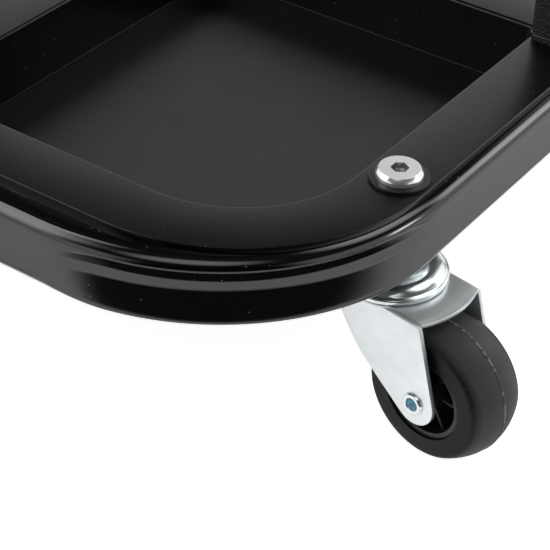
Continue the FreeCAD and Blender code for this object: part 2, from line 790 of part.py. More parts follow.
def cover_staples():
    """Wire staples all round through the hem into the board."""
    low = board_bottom - cover_skin - staple_wire
    crown = box(-staple_width / 2, staple_width / 2, -staple_wire / 2, staple_wire / 2, low, low + staple_wire)
    legs = [box(x, x + staple_wire, -staple_wire / 2, staple_wire / 2, low, low + staple_leg)
            for x in (-staple_width / 2, staple_width / 2 - staple_wire)]
    staple = joined([crown] + legs)
    staples = []
    for length, depth, angle in ((pad_length, pad_width, 0), (pad_width, pad_length, 90)):
        room = length - 2 * pad_corner
        count = int(room / staple_pitch) + 1
        for index in range(count):
            along = (index - (count - 1) / 2) * staple_pitch
            for side in (-1, 1):
                across = side * (depth / 2 - cover_hem * 2 / 3)
                spot = placed(staple, move=point(along, across))
                staples.append(placed(spot, FreeCAD.Rotation(ALONG_Z, angle)))
    return Part.makeCompound(staples)


def save(name, shape):
    shape.exportStep(os.path.join("parts", name + ".step"))


FIXED = {
    "base_ring": base_ring, "tool_tray": tool_tray, "stem_washers": stem_washers, "cap_nuts": cap_nuts,
    "seat_frame": seat_frame, "foot_plates": foot_plates, "foot_bolts": foot_bolts,
    "foot_washers": foot_washers, "foot_nuts": foot_nuts, "seat_plate": seat_plate,
    "frame_bolts": frame_bolts, "frame_washers": frame_washers, "frame_nuts": frame_nuts,
    "seat_board": seat_board, "tee_nuts": tee_nuts, "board_screws": board_screws,
    "seat_foam": seat_foam, "seat_cover": seat_cover, "cover_staples": cover_staples,
}
CASTER = {
    "caster_stem": caster_stem, "race_cap": race_cap, "ball_ring": ball_ring, "lower_race": lower_race,
    "caster_fork": caster_fork, "axle_sleeve": axle_sleeve, "axle_screw": axle_screw_piece,
    "wheel_tread": wheel_tread, "wheel_hub": wheel_hub,
}


def main():
    os.makedirs("parts", exist_ok=True)
    for name, make in FIXED.items():
        save(name, make())
    for name, make in CASTER.items():
        shape = make()
        for corner, turn, move in caster_places():
            save(name + "_" + corner, placed(shape, turn, move))


main()
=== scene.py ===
import json
import math

import bmesh
import bpy
from mathutils import Matrix, Vector, noise


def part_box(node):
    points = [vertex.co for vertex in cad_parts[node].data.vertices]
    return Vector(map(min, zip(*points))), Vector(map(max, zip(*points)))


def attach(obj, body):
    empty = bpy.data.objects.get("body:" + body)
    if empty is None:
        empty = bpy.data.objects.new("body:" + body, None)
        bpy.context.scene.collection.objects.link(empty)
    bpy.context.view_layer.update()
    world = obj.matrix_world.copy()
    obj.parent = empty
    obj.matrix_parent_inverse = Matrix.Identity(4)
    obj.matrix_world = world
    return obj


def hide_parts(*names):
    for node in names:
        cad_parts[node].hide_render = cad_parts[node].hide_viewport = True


# Creeper seat: a padded seat over a tool tray on a bent tube ring with four casters. Metres.
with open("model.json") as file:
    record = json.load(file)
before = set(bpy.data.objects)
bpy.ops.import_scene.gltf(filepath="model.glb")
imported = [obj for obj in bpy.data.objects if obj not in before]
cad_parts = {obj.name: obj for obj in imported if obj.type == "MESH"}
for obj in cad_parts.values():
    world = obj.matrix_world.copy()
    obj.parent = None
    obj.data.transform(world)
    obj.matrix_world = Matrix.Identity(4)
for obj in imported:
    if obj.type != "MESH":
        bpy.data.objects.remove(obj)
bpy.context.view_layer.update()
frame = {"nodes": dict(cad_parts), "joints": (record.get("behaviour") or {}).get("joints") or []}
scene = bpy.context.scene

CORNERS = {"front_left": (-1, -1), "front_right": (1, -1), "back_right": (1, 1), "back_left": (-1, 1)}
UP = Vector((0, 0, 1))

# Places and outer sizes that the frame gives
ring_low, ring_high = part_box("base_ring")
tray_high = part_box("tool_tray")[1]
plate_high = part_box("foot_plates")[1]
leg_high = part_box("seat_frame")[1]
cap_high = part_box("race_cap_front_left")[1]
race_low, race_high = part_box("lower_race_front_left")
fork_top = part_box("caster_fork_front_left")[1].z
cover_low, cover_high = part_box("seat_cover")
board_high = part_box("seat_board")[1]
joints = {joint["name"]: joint for joint in frame["joints"]}

# Base ring: square tube whose outer wall sinks where it is bent
ring_tube = ring_high.z - ring_low.z
ring_edge = 0.0030
ring_brow = 0.0046
ring_crown = 0.0003
ring_flat = 0.0085
ring_flat_round = 0.0010
ring_brow_sink = 0.0020
ring_brow_bent = 0.0033
ring_heel_proud = 0.00025
ring_heel_bent = 0.0016
# The outer wall on a straight and in a bend, from its top edge: (outward, up, rounding)
ring_wall = ((0, -0.0062, 0.0004), (0, -0.0070, 0.0004), (0, -0.0090, 0.0006), (0, -0.0120, 0.0010),
             (0, -0.0185, 0.0015))
ring_wall_bent = ((-0.00095, -0.0036, 0.0002), (-0.00140, -0.0042, 0.0003), (-0.00095, -0.0069, 0.0005),
                  (-0.00135, -0.0105, 0.0008), (-0.0003, -0.0186, 0.0015))
ring_bend = 0.0846
ring_dish_run = 0.006
ring_dish_rise = 0.026
ring_bend_steps = 40

# Tool tray: sheet, compartments and the roundings along their edges
tray_sheet = 0.0020
tray_corner = 0.0686
ledge_width = 0.0226
rib_width = 0.0232
recess_depth = 0.0240
recess_corner = 0.0438
recess_draft = 0.0016
rib_corner = 0.0045
rim_round = 0.0013
floor_round = 0.0003
lip_round = 0.0004

# Stem nut
nut_head = 0.0076
nut_head_top = 0.00645
nut_washer_sheet = 0.0010
nut_head_height = 0.0030
nut_rim_height = 0.0014
nut_edge = 0.00022
nut_foot_round = 0.0002
nut_rim_round = 0.0004
nut_key = 0.0050
nut_key_rim = 0.0006
nut_key_chamfer = 0.00022
nut_key_lead = 0.0002
nut_key_depth = 0.0020
nut_pit_inset = 0.0004
nut_pit_lip = 0.0001
nut_pit_tip = 0.0003
nut_pit_depth = 0.0009
nut_top_skin = 0.00004
nut_turn = math.radians(4)

# Caster
wheel_width = 0.0227
wheel_shoulder = 0.0215
tread_crown_share = 0.96
shoulder_soft = 0.0012
seam_height = 0.00020
seam_width = 0.0005
hub_radius = 0.0149
hub_rim = 0.0020
hub_inset = 0.0008
hub_web = 0.0032
hub_boss = 0.0054
hub_rib = 0.0014
hub_rib_inset = 0.0042
hub_ribs = 6
hub_boss_proud = 0.0005
hub_rib_bite = 0.0008
hub_bore_round = 0.0003
hub_boss_round = 0.0005
hub_foot_round = 0.0012
hub_dish_round = 0.0014
hub_rim_round = 0.0004
hub_rib_round = 0.0005
fork_sheet = 0.0015
fork_outside = 0.01495
fork_ceiling = 0.0532
fork_front = 0.0246
fork_bow = 0.0028
fork_back = 0.0120
fork_eye = 0.0078
fork_fold = 0.0018
fork_disc = 0.0176
fork_disc_lift = 0.0001
fork_disc_proud = 0.00005
fork_disc_foot_round = 0.0003
fork_disc_top_round = 0.0006
fork_edge = 0.0003
eye_start = -86
eye_step = 7.4
knee_x_share = 0.12
knee_z_share = 0.226
flank_x_share = 0.62
flank_z_share = 0.63
cap_radius = 0.0186
cap_sheet = 0.0014
cap_bead = 0.00085
cap_dish = 0.0124
cap_crest = 0.0138
cap_skirt = 0.0033
cap_dip = 0.0004
cap_dish_round = 0.0006
cap_crest_round = 0.0009
cap_brow = 0.0024
cap_brow_drop = 0.0010
cap_brow_round = 0.0012
cap_neck = 0.0011
cap_neck_rise = 0.0012
cap_flare_rise = 0.0009
cap_neck_round = 0.0005
cap_bead_round = 0.0006
cap_roll = 0.0017
cap_roll_round = 0.0004
kingpin_radius = 0.0040
race_inner = 0.0098
race_outer = 0.0164
race_flare = 0.0004
race_lip = 0.0009
race_wall = 0.0010
race_groove = 0.0008
race_round = 0.0003
race_bore_round = 0.0001
race_brim_round = 0.0004
axle_flange = 0.0041
axle_flange_height = 0.0012
axle_screw = 0.0022
axle_barrel = 0.0030
axle_play = 0.0002
axle_brim = 0.0006
axle_brim_drop = 0.0001
axle_brim_round = 0.0003
axle_foot_round = 0.0004
axle_mouth = 0.0006
axle_mouth_step = 0.0001
axle_mouth_lip = 0.0002
axle_mouth_depth = 0.0007
axle_mouth_round = 0.0002
axle_bore_round = 0.0001
lock_depth = 0.0005
lock_root = 0.0004
lock_lump = 0.00022
lock_grain = 900
lock_rise = ((1.0, 0.0), (0.96, 0.00016), (0.8, 0.00026), (0.55, 0.00018), (0.3, 0.0003), (0.08, 0.00024))

# Seat
leg_edge = 0.0030
leg_depth = 0.020
weld_bead = 0.0005
weld_level_share = 0.9
weld_lump_share = 0.25
weld_grain = 240
pad_corner = 0.052
pad_draw = 0.005
pad_foot = ((0.0040, 0), (0.0010, 0.0012), (0, 0.0040))
corner_least_share = 0.85
corner_most_share = 0.75
shoulder_inset = 0.016
shoulder_turn_share = 0.95
cover_skin = 0.0014
cover_hem = 0.026
cover_open_above = 0.0015
hem_inset = 0.0045
hem_lift = 0.0001
hem_sheet_share = 0.8
hem_shares = (0.0, 0.3, 0.6, 0.85, 1.0)
pleat_reach = 0.010
pleat_depth = 0.0004
pleat_turns = 22
pad_side = 0.034
crown_shares = (0.22, 0.38, 0.56, 0.76)
cloth_voxel = 0.005
cloth_start_inset = 0.0025
cloth_start_drop = 0.0115
cloth_cap = 0.014
foam_give = 0.0025
welt_radius = 0.0017
welt_inset = 0.0062
welt_drop = 0.0060
welt_lift = 0.0003
welt_passes = 3
stitch_gap = 0.0042
stitch_pitch = 0.0052
stitch_length = 0.0036
thread_radius = 0.0004
stitch_arc = ((-0.5, -0.0004), (-0.42, 0.0001), (0.0, 0.0003), (0.42, 0.0001), (0.5, -0.0004))
cloth_frames = 20
CLOTH = {"quality": 8, "mass": 0.3, "tension_stiffness": 80, "compression_stiffness": 80,
         "bending_stiffness": 10, "use_pressure": True, "uniform_pressure_force": 4}
ply_layer = 0.0024


# Mesh helpers
def soft_outline(corners, steps=5, closed=True):
    """Points through corners (x, y, reach), each corner rounded over its reach along both sides."""
    circle_handle = 0.5523
    points = []
    last = len(corners) - 1
    for index, (x, y, reach) in enumerate(corners):
        here = Vector((x, y))
        if reach == 0 or (not closed and index in (0, last)):
            points.append(here)
            continue
        before = Vector(corners[index - 1][:2])
        after = Vector(corners[(index + 1) % len(corners)][:2])
        inward = (before - here).normalized()
        outward = (after - here).normalized()
        start = here + inward * reach
        end = here + outward * reach
        first = start.lerp(here, circle_handle)
        second = end.lerp(here, circle_handle)
        for step in range(steps + 1):
            t = step / steps
            u = 1 - t
            points.append(start * u ** 3 + first * 3 * u * u * t + second * 3 * u * t * t + end * t ** 3)
    return points


def add_loft(bm, rings, closed=False, caps=True):
    """Skins rings of points. The last ring joins the first if closed, and otherwise both ends are capped."""
    rows = [[bm.verts.new(point) for point in ring] for ring in rings]
    pairs = list(zip(rows, rows[1:]))
    if closed:
        pairs.append((rows[-1], rows[0]))
    count = len(rows[0])
    for low, high in pairs:
        for index in range(count):
            after = (index + 1) % count
            bm.faces.new((low[index], low[after], high[after], high[index]))
    if caps and not closed:
        bm.faces.new(rows[0][::-1])
        bm.faces.new(rows[-1])
    return rows


def full_turn(count):
    return [2 * math.pi * step / count for step in range(count)]


def around_z(profile, segments):
    """Rings round the Z axis through points (radius, height)."""
    turns = full_turn(segments)
    return [[Vector((r * math.cos(a), r * math.sin(a), z)) for a in turns] for r, z in profile]


def around_y(profile, segments):
    """Rings round the Y axis through points (radius, along)."""
    turns = full_turn(segments)
    return [[Vector((r * math.cos(a), y, r * math.sin(a))) for a in turns] for r, y in profile]


def round_section(heart, up, aside, radius, count):
    """One ring of a round bar, in the plane of two directions."""
    return [heart + up * radius * math.cos(a) + aside * radius * math.sin(a) for a in full_turn(count)]


def to_object(bm, name, material, sharp=35):
    bmesh.ops.recalc_face_normals(bm, faces=bm.faces)
    mesh = bpy.data.meshes.new(name)
    bm.to_mesh(mesh)
    bm.free()
    mesh.materials.append(material)
    mesh.shade_smooth()
    mesh.set_sharp_from_angle(angle=math.radians(sharp))
    piece = bpy.data.objects.new(name, mesh)
    scene.collection.objects.link(piece)
    return piece


def apply_modifiers(piece):
    graph = bpy.context.evaluated_depsgraph_get()
    mesh = bpy.data.meshes.new_from_object(piece.evaluated_get(graph))
    piece.modifiers.clear()
    piece.data = mesh
    return piece


def twin_at(piece, name, place):
    twin = piece.copy()
    twin.name = name
    scene.collection.objects.link(twin)
    twin.matrix_world = place
    return twin


def on_casters(piece, part, body, places):
    """One copy of a piece on each caster, each standing for the node of that part there."""
    for corner, place in places.items():
        twin = twin_at(piece, part + "_" + corner + "_skin", place)
        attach(twin, "base" if body == "base" else body + "_" + corner)
        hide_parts(part + "_" + corner)
    bpy.data.objects.remove(piece)


def dress(material, *nodes):
    """Gives CAD nodes a material."""
    for name in nodes:
        mesh = frame["nodes"][name].data
        mesh.materials.clear()
        mesh.materials.append(material)


def each_corner(part):
    return [part + "_" + corner for corner in CORNERS]


# Materials
# The colour sockets of a Mix node come after its float and vector ones
MIX_FIRST = 6
MIX_SECOND = 7
MIX_RESULT = 2
NUMBER_RESULTS = ("LENGTH", "DISTANCE", "DOT_PRODUCT")


class Nodes:
    """Short calls for the nodes of one tree."""

    def __init__(self, tree):
        self.tree = tree

    def node(self, kind, inputs=None, **settings):
        made = self.tree.nodes.new("ShaderNode" + kind)
        for key, value in settings.items():
            setattr(made, key, value)
        for key, value in (inputs or {}).items():
            self.feed(made.inputs[key], value)
        return made

    def feed(self, socket, value):
        if isinstance(value, bpy.types.NodeSocket):
            self.tree.links.new(value, socket)
        else:
            socket.default_value = value

    def span(self, value, low, high, start=0.0, end=1.0, shape="LINEAR"):
        """Carries the range from start to end of a value to the range from low to high."""
        inputs = {"Value": value, "From Min": start, "From Max": end, "To Min": low, "To Max": high}
        return self.node("MapRange", inputs, interpolation_type=shape).outputs["Result"]

    def ease(self, value, start, end, low, high):
        """The same with soft ends, and with the value's own range first."""
        return self.span(value, low, high, start, end, "SMOOTHSTEP")

    def math(self, operation, first, second=0.0):
        return self.node("Math", {0: first, 1: second}, operation=operation).outputs["Value"]

    def vector(self, operation, first, second=(0, 0, 0)):
        made = self.node("VectorMath", {0: first, 1: second}, operation=operation)
        return made.outputs["Value" if operation in NUMBER_RESULTS else "Vector"]

    def axis(self, vector, name):
        return self.node("SeparateXYZ", {"Vector": vector}).outputs[name]

    def mix(self, share, first, second):
        made = self.node("Mix", {"Factor": share, MIX_FIRST: first, MIX_SECOND: second}, data_type="RGBA")
        return made.outputs[MIX_RESULT]

    def rays(self):
        """The share for rays that the camera sends, and for rays that gloss or clear matter sends."""
        path = self.node("LightPath").outputs
        return path["Is Camera Ray"], self.math("MAXIMUM", path["Is Glossy Ray"], path["Is Transmission Ray"])


class Finish(Nodes):
    """One material: its shader, and short calls for the nodes that feed it."""

    def __init__(self, name, **sockets):
        self.material = bpy.data.materials.new(name)
        self.material.use_nodes = True
        super().__init__(self.material.node_tree)
        self.shader = self.tree.nodes["Principled BSDF"]
        self.place = self.node("TexCoord").outputs["Object"]
        for name, value in sockets.items():
            self.set(name.replace("_", " ").title().replace("Ior", "IOR"), value)

    def set(self, name, value):
        self.feed(self.shader.inputs[name], value)

    def noise(self, scale, detail=2, rough=0.5, place=None):
        inputs = {"Vector": place or self.place, "Scale": scale, "Detail": detail, "Roughness": rough}
        return self.node("TexNoise", inputs).outputs["Fac"]

    def stretched(self, x, y, z):
        """The place in the object with each axis scaled."""
        return self.node("Mapping", {"Vector": self.place, "Scale": (x, y, z)}).outputs["Vector"]

    def mix_over(self, value, start, end, first, second):
        """Mixes two colours as a value runs from start to end."""
        return self.mix(self.span(value, 0, 1, start, end), first, second)

    def level(self):
        """How level the surface lies: 1 on a floor or a top, and 0 on a wall."""
        return self.math("ABSOLUTE", self.axis(self.node("NewGeometry").outputs["Normal"], "Z"))

    def specks(self, scale, size, kept):
        """Small dots, each in its own cell, on the kept share of the cells."""
        cell = self.node("TexVoronoi", {"Vector": self.place, "Scale": scale})
        dot = self.math("LESS_THAN", cell.outputs["Distance"], size)
        red = self.node("SeparateColor", {"Color": cell.outputs["Color"]}).outputs["Red"]
        return self.math("MULTIPLY", dot, self.math("LESS_THAN", red, kept))

    def bump(self, height, distance, strength=1.0, below=None):
        inputs = {"Height": height, "Distance": distance, "Strength": strength}
        if below is not None:
            inputs["Normal"] = below
        normal = self.node("Bump", inputs).outputs["Normal"]
        self.set("Normal", normal)
        return normal


def grey(level, blue=0.0):
    return (level, level, level * (1 + blue), 1)


def gloss_enamel():
    f = Finish("gloss_enamel", ior=1.64)
    dust = f.specks(420, 0.09, 0.16)
    f.set("Base Color", f.mix(dust, f.mix(f.noise(9, 3), grey(0.0015), grey(0.0030, 0.05)), grey(0.12)))
    f.set("Roughness", f.math("ADD", f.span(f.noise(40, 4), 0.05, 0.10), f.math("MULTIPLY", dust, 0.4)))
    f.bump(f.noise(330, 2), 0.00003, 0.25, f.bump(f.noise(30, 2), 0.0004, 0.2))
    return f.material


def satin_plastic():
    f = Finish("satin_plastic", specular_ior_level=0.31)
    specks = f.math("MAXIMUM", f.specks(310, 0.07, 0.18), f.specks(900, 0.11, 0.05))
    streak = f.noise(14, 4, 0.6, f.stretched(1.0, 5.0, 1.0))
    tone = f.mix_over(streak, 0.35, 0.7, grey(0.0010, 0.04), grey(0.0022, 0.05))
    f.set("Base Color", f.mix(specks, tone, grey(0.11)))
    level = f.span(f.level(), 0.42, 1.0, 0.3, 0.9)
    f.set("Roughness", f.math("MULTIPLY", f.span(f.noise(60, 5, 0.65), 0.29, 0.38), level))
    f.bump(f.noise(2600, 3), 0.00005, 0.35, f.bump(f.noise(120, 2), 0.0002, 0.10))
    return f.material


def texture_coat():
    f = Finish("texture_coat")
    grain = f.node("TexVoronoi", {"Vector": f.place, "Scale": 1500.0}).outputs["Distance"]
    orange = f.noise(1100, 4, 0.6)
    f.set("Base Color", f.mix_over(orange, 0.40, 0.62, grey(0.001), grey(0.030, 0.04)))
    f.set("Roughness", f.span(orange, 0.34, 0.62))
    f.bump(orange, 0.0005, 0.9, f.bump(grain, 0.0003, 0.6))
    return f.material


def black_nylon():
    f = Finish("black_nylon")
    f.set("Base Color", f.mix(f.noise(500, 3), grey(0.004), grey(0.008)))
    f.set("Roughness", f.span(f.noise(240, 3), 0.30, 0.46))
    f.bump(f.noise(1800, 2), 0.00005, 0.3)
    return f.material


def bright_nickel():
    """Turned nickel: fine rings on the flat top, polished elsewhere, and painted shade inside the hex socket.
    """
    f = Finish("bright_nickel", metallic=0.82)
    spot = f.node("SeparateXYZ", {"Vector": f.place})
    x, y, z = (spot.outputs[name] for name in "XYZ")
    out = f.math("SQRT", f.math("ADD", f.math("MULTIPLY", x, x), f.math("MULTIPLY", y, y)))
    rings = f.node("TexNoise", {"W": f.math("MULTIPLY", out, 5200.0), "Scale": 1.0, "Detail": 3.0},
                   noise_dimensions="1D").outputs["Fac"]
    top = f.math("GREATER_THAN", z, nut_head_height - nut_edge)
    turned = f.math("MULTIPLY", rings, top)
    shine = f.mix(turned, (0.93, 0.93, 0.92, 1), (0.80, 0.80, 0.79, 1))
    # The socket's inside is painted dark grey: painted shade in the recess, not a different metal
    socket = f.math("MULTIPLY", f.math("LESS_THAN", out, nut_key / 2 + nut_key_rim),
                    f.math("LESS_THAN", z, nut_head_height - nut_top_skin))
    f.set("Base Color", f.mix(socket, shine, grey(0.38)))
    f.set("Roughness", f.math("ADD", f.span(top, 0.12, 0.60), f.span(f.noise(900, 3), 0.0, 0.08)))
    f.bump(turned, 0.00002, 0.4)
    return f.material


def zinc_plate():
    f = Finish("zinc_plate", metallic=0.80)
    cloud = f.noise(110, 4, 0.6)
    stain = f.noise(38, 3, 0.5)
    tone = f.mix_over(cloud, 0.3, 0.7, (0.77, 0.82, 0.84, 1), (0.89, 0.91, 0.92, 1))
    f.set("Base Color", f.mix(f.span(stain, 0, 0.35, 0.5, 0.8), tone, (0.80, 0.80, 0.76, 1)))
    f.set("Roughness", f.span(f.noise(260, 4, 0.6), 0.28, 0.40))
    f.bump(f.noise(900, 3), 0.00002, 0.2, f.bump(f.noise(90, 2), 0.0001, 0.15))
    return f.material


def bright_zinc():
    f = Finish("bright_zinc", metallic=0.92)
    cloud = f.noise(240, 3, 0.6)
    f.set("Base Color", f.mix_over(cloud, 0.3, 0.7, (0.72, 0.79, 0.80, 1), (0.90, 0.94, 0.94, 1)))
    f.set("Roughness", f.span(f.noise(420, 4, 0.6), 0.13, 0.24))
    f.bump(f.noise(700, 3), 0.00003, 0.25)
    return f.material


def polished_steel():
    f = Finish("polished_steel", metallic=1.0)
    f.set("Base Color", f.mix(f.noise(300, 2), grey(0.55), grey(0.68)))
    f.set("Roughness", f.span(f.noise(800, 2), 0.06, 0.16))
    return f.material


def tread_rubber():
    f = Finish("tread_rubber", specular_ior_level=0.24)
    bloom = f.noise(46, 4, 0.6)
    dust = f.specks(430, 0.11, 0.10)
    across = f.math("ABSOLUTE", f.axis(f.place, "Y"))
    # The tread's middle is painted lighter than its sides: painted sheen standing in for the tread's glossy
    # highlight
    tread_sheen = f.span(across, 1.0, 0.0, wheel_width * 0.36, wheel_width * 0.49)
    side_tone = f.mix_over(bloom, 0.3, 0.7, grey(0.0010, 0.03), grey(0.0025, 0.03))
    tone = f.mix(tread_sheen, side_tone, f.mix_over(bloom, 0.3, 0.7, grey(0.032, 0.02), grey(0.052, 0.02)))
    seam = f.math("LESS_THAN", across, seam_width * 0.55)
    caught = f.math("MULTIPLY", seam, f.math("GREATER_THAN", f.noise(330, 3), 0.52))
    f.set("Base Color", f.mix(f.math("MAXIMUM", dust, caught), tone, grey(0.20)))
    f.set("Roughness", f.span(f.noise(150, 4), 0.40, 0.56))
    f.bump(f.noise(1500, 3), 0.00006, 0.35, f.bump(f.noise(210, 2), 0.00015, 0.15))
    return f.material


def hub_plastic():
    f = Finish("hub_plastic")
    f.set("Base Color", f.mix(f.noise(90, 3), grey(0.004), grey(0.009)))
    f.set("Roughness", f.span(f.noise(400, 3), 0.34, 0.52))
    f.bump(f.noise(1300, 2), 0.00005, 0.3)
    return f.material


def thread_lock():
    f = Finish("thread_lock", coat_weight=0.6, coat_roughness=0.12)
    clump = f.noise(900, 4, 0.6)
    f.set("Base Color", f.mix_over(clump, 0.35, 0.65, (0.001, 0.035, 0.08, 1), (0.04, 0.36, 0.54, 1)))
    f.set("Roughness", f.span(clump, 0.25, 0.6))
    f.bump(clump, 0.0004, 0.8)
    return f.material


def painted_ply():
    """Plywood under thin black paint: the grain and the layers of its edge show through."""
    f = Finish("painted_ply")
    grain = f.noise(24, 6, 0.62, f.stretched(1.0, 14.0, 1.0))
    face = f.mix_over(grain, 0.3, 0.72, (0.010, 0.009, 0.008, 1), (0.024, 0.022, 0.020, 1))
    layer = f.math("PINGPONG", f.math("MULTIPLY", f.axis(f.place, "Z"), 1 / ply_layer), 1.0)
    edge = f.mix(f.math("GREATER_THAN", layer, 0.5), (0.012, 0.010, 0.008, 1), (0.035, 0.029, 0.022, 1))
    f.set("Base Color", f.mix(f.math("GREATER_THAN", f.level(), 0.5), edge, face))
    f.set("Roughness", f.span(grain, 0.5, 0.7))
    f.bump(grain, 0.0002, 0.4)
    return f.material


def upholstery_vinyl():
    """Black vinyl with a pebbled leather grain whose valleys carry painted shade, and a few soft creases."""
    f = Finish("upholstery_vinyl")
    bent = f.node("TexNoise", {"Vector": f.place, "Scale": 260.0, "Detail": 2.0}).outputs["Color"]
    small = f.node("VectorMath", {0: bent, "Scale": 0.0009}, operation="SCALE").outputs[0]
    drift = f.vector("ADD", f.place, small)
    pebble = f.node("TexVoronoi", {"Vector": drift, "Scale": 620.0}, feature="DISTANCE_TO_EDGE")
    valley = f.span(pebble.outputs["Distance"], 0, 1, 0.0, 0.16)
    wear = f.noise(18, 4, 0.6)
    # The grain's valleys are painted darker than its tops: painted shade in the creases
    f.set("Base Color", f.mix(valley, grey(0.006), f.mix(wear, grey(0.013, 0.03), grey(0.021, 0.04))))
    f.set("Roughness", f.math("ADD", f.span(valley, 0.55, 0.36), f.span(wear, -0.04, 0.06)))
    f.bump(valley, 0.00022, 0.75, f.bump(f.noise(55, 3), 0.0006, 0.2))
    return f.material


def sewing_thread():
    f = Finish("sewing_thread", sheen_weight=0.3)
    twist = f.noise(2600, 2, 0.5, f.stretched(1.0, 1.0, 2.5))
    f.set("Base Color", f.mix(twist, grey(0.012, 0.03), grey(0.050, 0.03)))
    f.set("Roughness", f.span(twist, 0.55, 0.75))
    f.bump(twist, 0.0001, 0.5)
    return f.material


ENAMEL = gloss_enamel()
PLASTIC = satin_plastic()
COAT = texture_coat()
NYLON = black_nylon()
NICKEL = bright_nickel()
ZINC = zinc_plate()
BRIGHT_ZINC = bright_zinc()
STEEL = polished_steel()
RUBBER = tread_rubber()
HUB = hub_plastic()
LOCK = thread_lock()
PLY = painted_ply()
VINYL = upholstery_vinyl()
THREAD = sewing_thread()


# Base ring
def ring_section(bent):
    """The tube's outline as (outward, up) from its outer top edge; bent runs from 0 on a straight to 1."""
    top = [(-ring_tube, 0, ring_edge), (-ring_flat, 0, ring_flat_round)]
    foot = [(-ring_tube, -ring_tube, ring_edge)]
    plain = [*top, (0, -ring_crown, ring_brow), *ring_wall, (0, -ring_tube, ring_edge), *foot]
    sunk = [*top, (-ring_brow_sink, -ring_crown, ring_brow_bent), *ring_wall_bent,
            (ring_heel_proud, -ring_tube, ring_heel_bent), *foot]
    corners = []
    for start, end in zip(plain, sunk):
        corners.append(tuple(a + (b - a) * bent for a, b in zip(start, end)))
    return soft_outline(corners, 6)


def ring_stations():
    """Place on the outer top edge, outward direction and share of the bend, all the way round."""
    reach_x = ring_high.x - ring_bend
    reach_y = ring_high.y - ring_bend
    arc = ring_bend * math.pi / 2
    lead_steps = 4
    for index, (sx, sy) in enumerate(CORNERS.values()):
        centre = Vector((sx * reach_x, sy * reach_y, ring_high.z))
        for step in range(-lead_steps, ring_bend_steps + lead_steps + 1):
            share = min(max(step / ring_bend_steps, 0), 1)
            angle = math.radians(180 + 90 * (index + share))
            outward = Vector((math.cos(angle), math.sin(angle), 0))
            over = step - min(max(step, 0), ring_bend_steps)
            along = Vector((-outward.y, outward.x, 0)) * (over / lead_steps * ring_dish_run)
            travel = share * arc + over / lead_steps * ring_dish_run + ring_dish_run
            rise = min(travel, arc + 2 * ring_dish_run - travel) / ring_dish_rise
            share = min(max(rise, 0), 1)
            yield centre + outward * ring_bend + along, outward, share * share * (3 - 2 * share)


def base_ring():
    bm = bmesh.new()
    rings = []
    for place, outward, bent in ring_stations():
        rings.append([place + outward * n + UP * z for n, z in ring_section(bent)])
    add_loft(bm, rings, closed=True)
    ring = to_object(bm, "ring_tube", ENAMEL, 40)
    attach(ring, "base")
    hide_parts("base_ring")


# Tool tray
def rounded_rectangle(low, high, radii, z, steps=14):
    """Points anticlockwise; the radii start at the corner of low X and low Y."""
    points = []
    for index, (sx, sy) in enumerate(CORNERS.values()):
        radius = radii[index]
        x = low[0] + radius if sx < 0 else high[0] - radius
        y = low[1] + radius if sy < 0 else high[1] - radius
        for step in range(steps + 1):
            angle = math.radians(180 + 90 * (index + step / steps))
            points.append(Vector((x + radius * math.cos(angle), y + radius * math.sin(angle), z)))
    return points


def recess_ring(side, inset, z):
    """A compartment's outline at one inset, in the quarter that side names."""
    start = rib_width / 2 + inset
    high = (tray_high.x - ledge_width - inset, tray_high.y - ledge_width - inset)
    small = rib_corner - inset
    points = rounded_rectangle((start, start), high, (small, small, recess_corner - inset, small), z)
    return [Vector((side[0] * point.x, side[1] * point.y, point.z)) for point in points]


def quarter_round(radius, steps=6):
    """Shares of a quarter round as pairs (run, drop), from level to upright."""
    turns = [math.pi / 2 * step / steps for step in range(steps + 1)]
    return [(radius * math.sin(a), radius * (1 - math.cos(a))) for a in turns]


def foot_round(radius, wall, floor, steps=6):
    """Points of the hollow between a wall and a floor, from upright to level."""
    turns = [math.pi / 2 * step / steps for step in range(steps + 1)]
    return [(wall + radius * (1 - math.cos(a)), floor + radius * (1 - math.sin(a))) for a in turns]


def loop_edges(bm, row):
    return [bm.edges.get((a, b)) for a, b in zip(row, row[1:] + row[:1])]


def tool_tray():
    bm = bmesh.new()
    top = tray_high.z
    lip = [(run - lip_round, -drop) for run, drop in quarter_round(lip_round)]
    outside = []
    for out, z in lip + [(0.0, -tray_sheet)]:
        high = (tray_high.x + out, tray_high.y + out)
        low = (-high[0], -high[1])
        outside.append(rounded_rectangle(low, high, [tray_corner + out] * 4, top + z, 24))
    rows = add_loft(bm, outside, caps=False)
    above = loop_edges(bm, rows[0])
    below = loop_edges(bm, rows[-1])
    inner = [(run - rim_round, -drop) for run, drop in quarter_round(rim_round)]
    inner += foot_round(floor_round, recess_draft, -recess_depth)
    outer = [(-tray_sheet, -tray_sheet)]
    outer += foot_round(floor_round + tray_sheet, recess_draft - tray_sheet, -recess_depth - tray_sheet)
    for side in CORNERS.values():
        for profile, edges in ((inner, above), (outer, below)):
            rows = add_loft(bm, [recess_ring(side, inset, top + z) for inset, z in profile], caps=False)
            edges.extend(loop_edges(bm, rows[0]))
            bm.faces.new(rows[-1])
    bmesh.ops.triangle_fill(bm, use_beauty=True, edges=above)
    bmesh.ops.triangle_fill(bm, use_beauty=True, edges=below)
    tray = to_object(bm, "tray_shell", PLASTIC, 30)
    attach(tray, "base")
    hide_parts("tool_tray")


# Stem nuts
def hexagon_ring(apothem, z, segments):
    points = []
    for step in range(segments):
        angle = 2 * math.pi * step / segments
        within = angle % (math.pi / 3) - math.pi / 6
        radius = apothem / math.cos(within)
        points.append(Vector((radius * math.cos(angle), radius * math.sin(angle), z)))
    return points


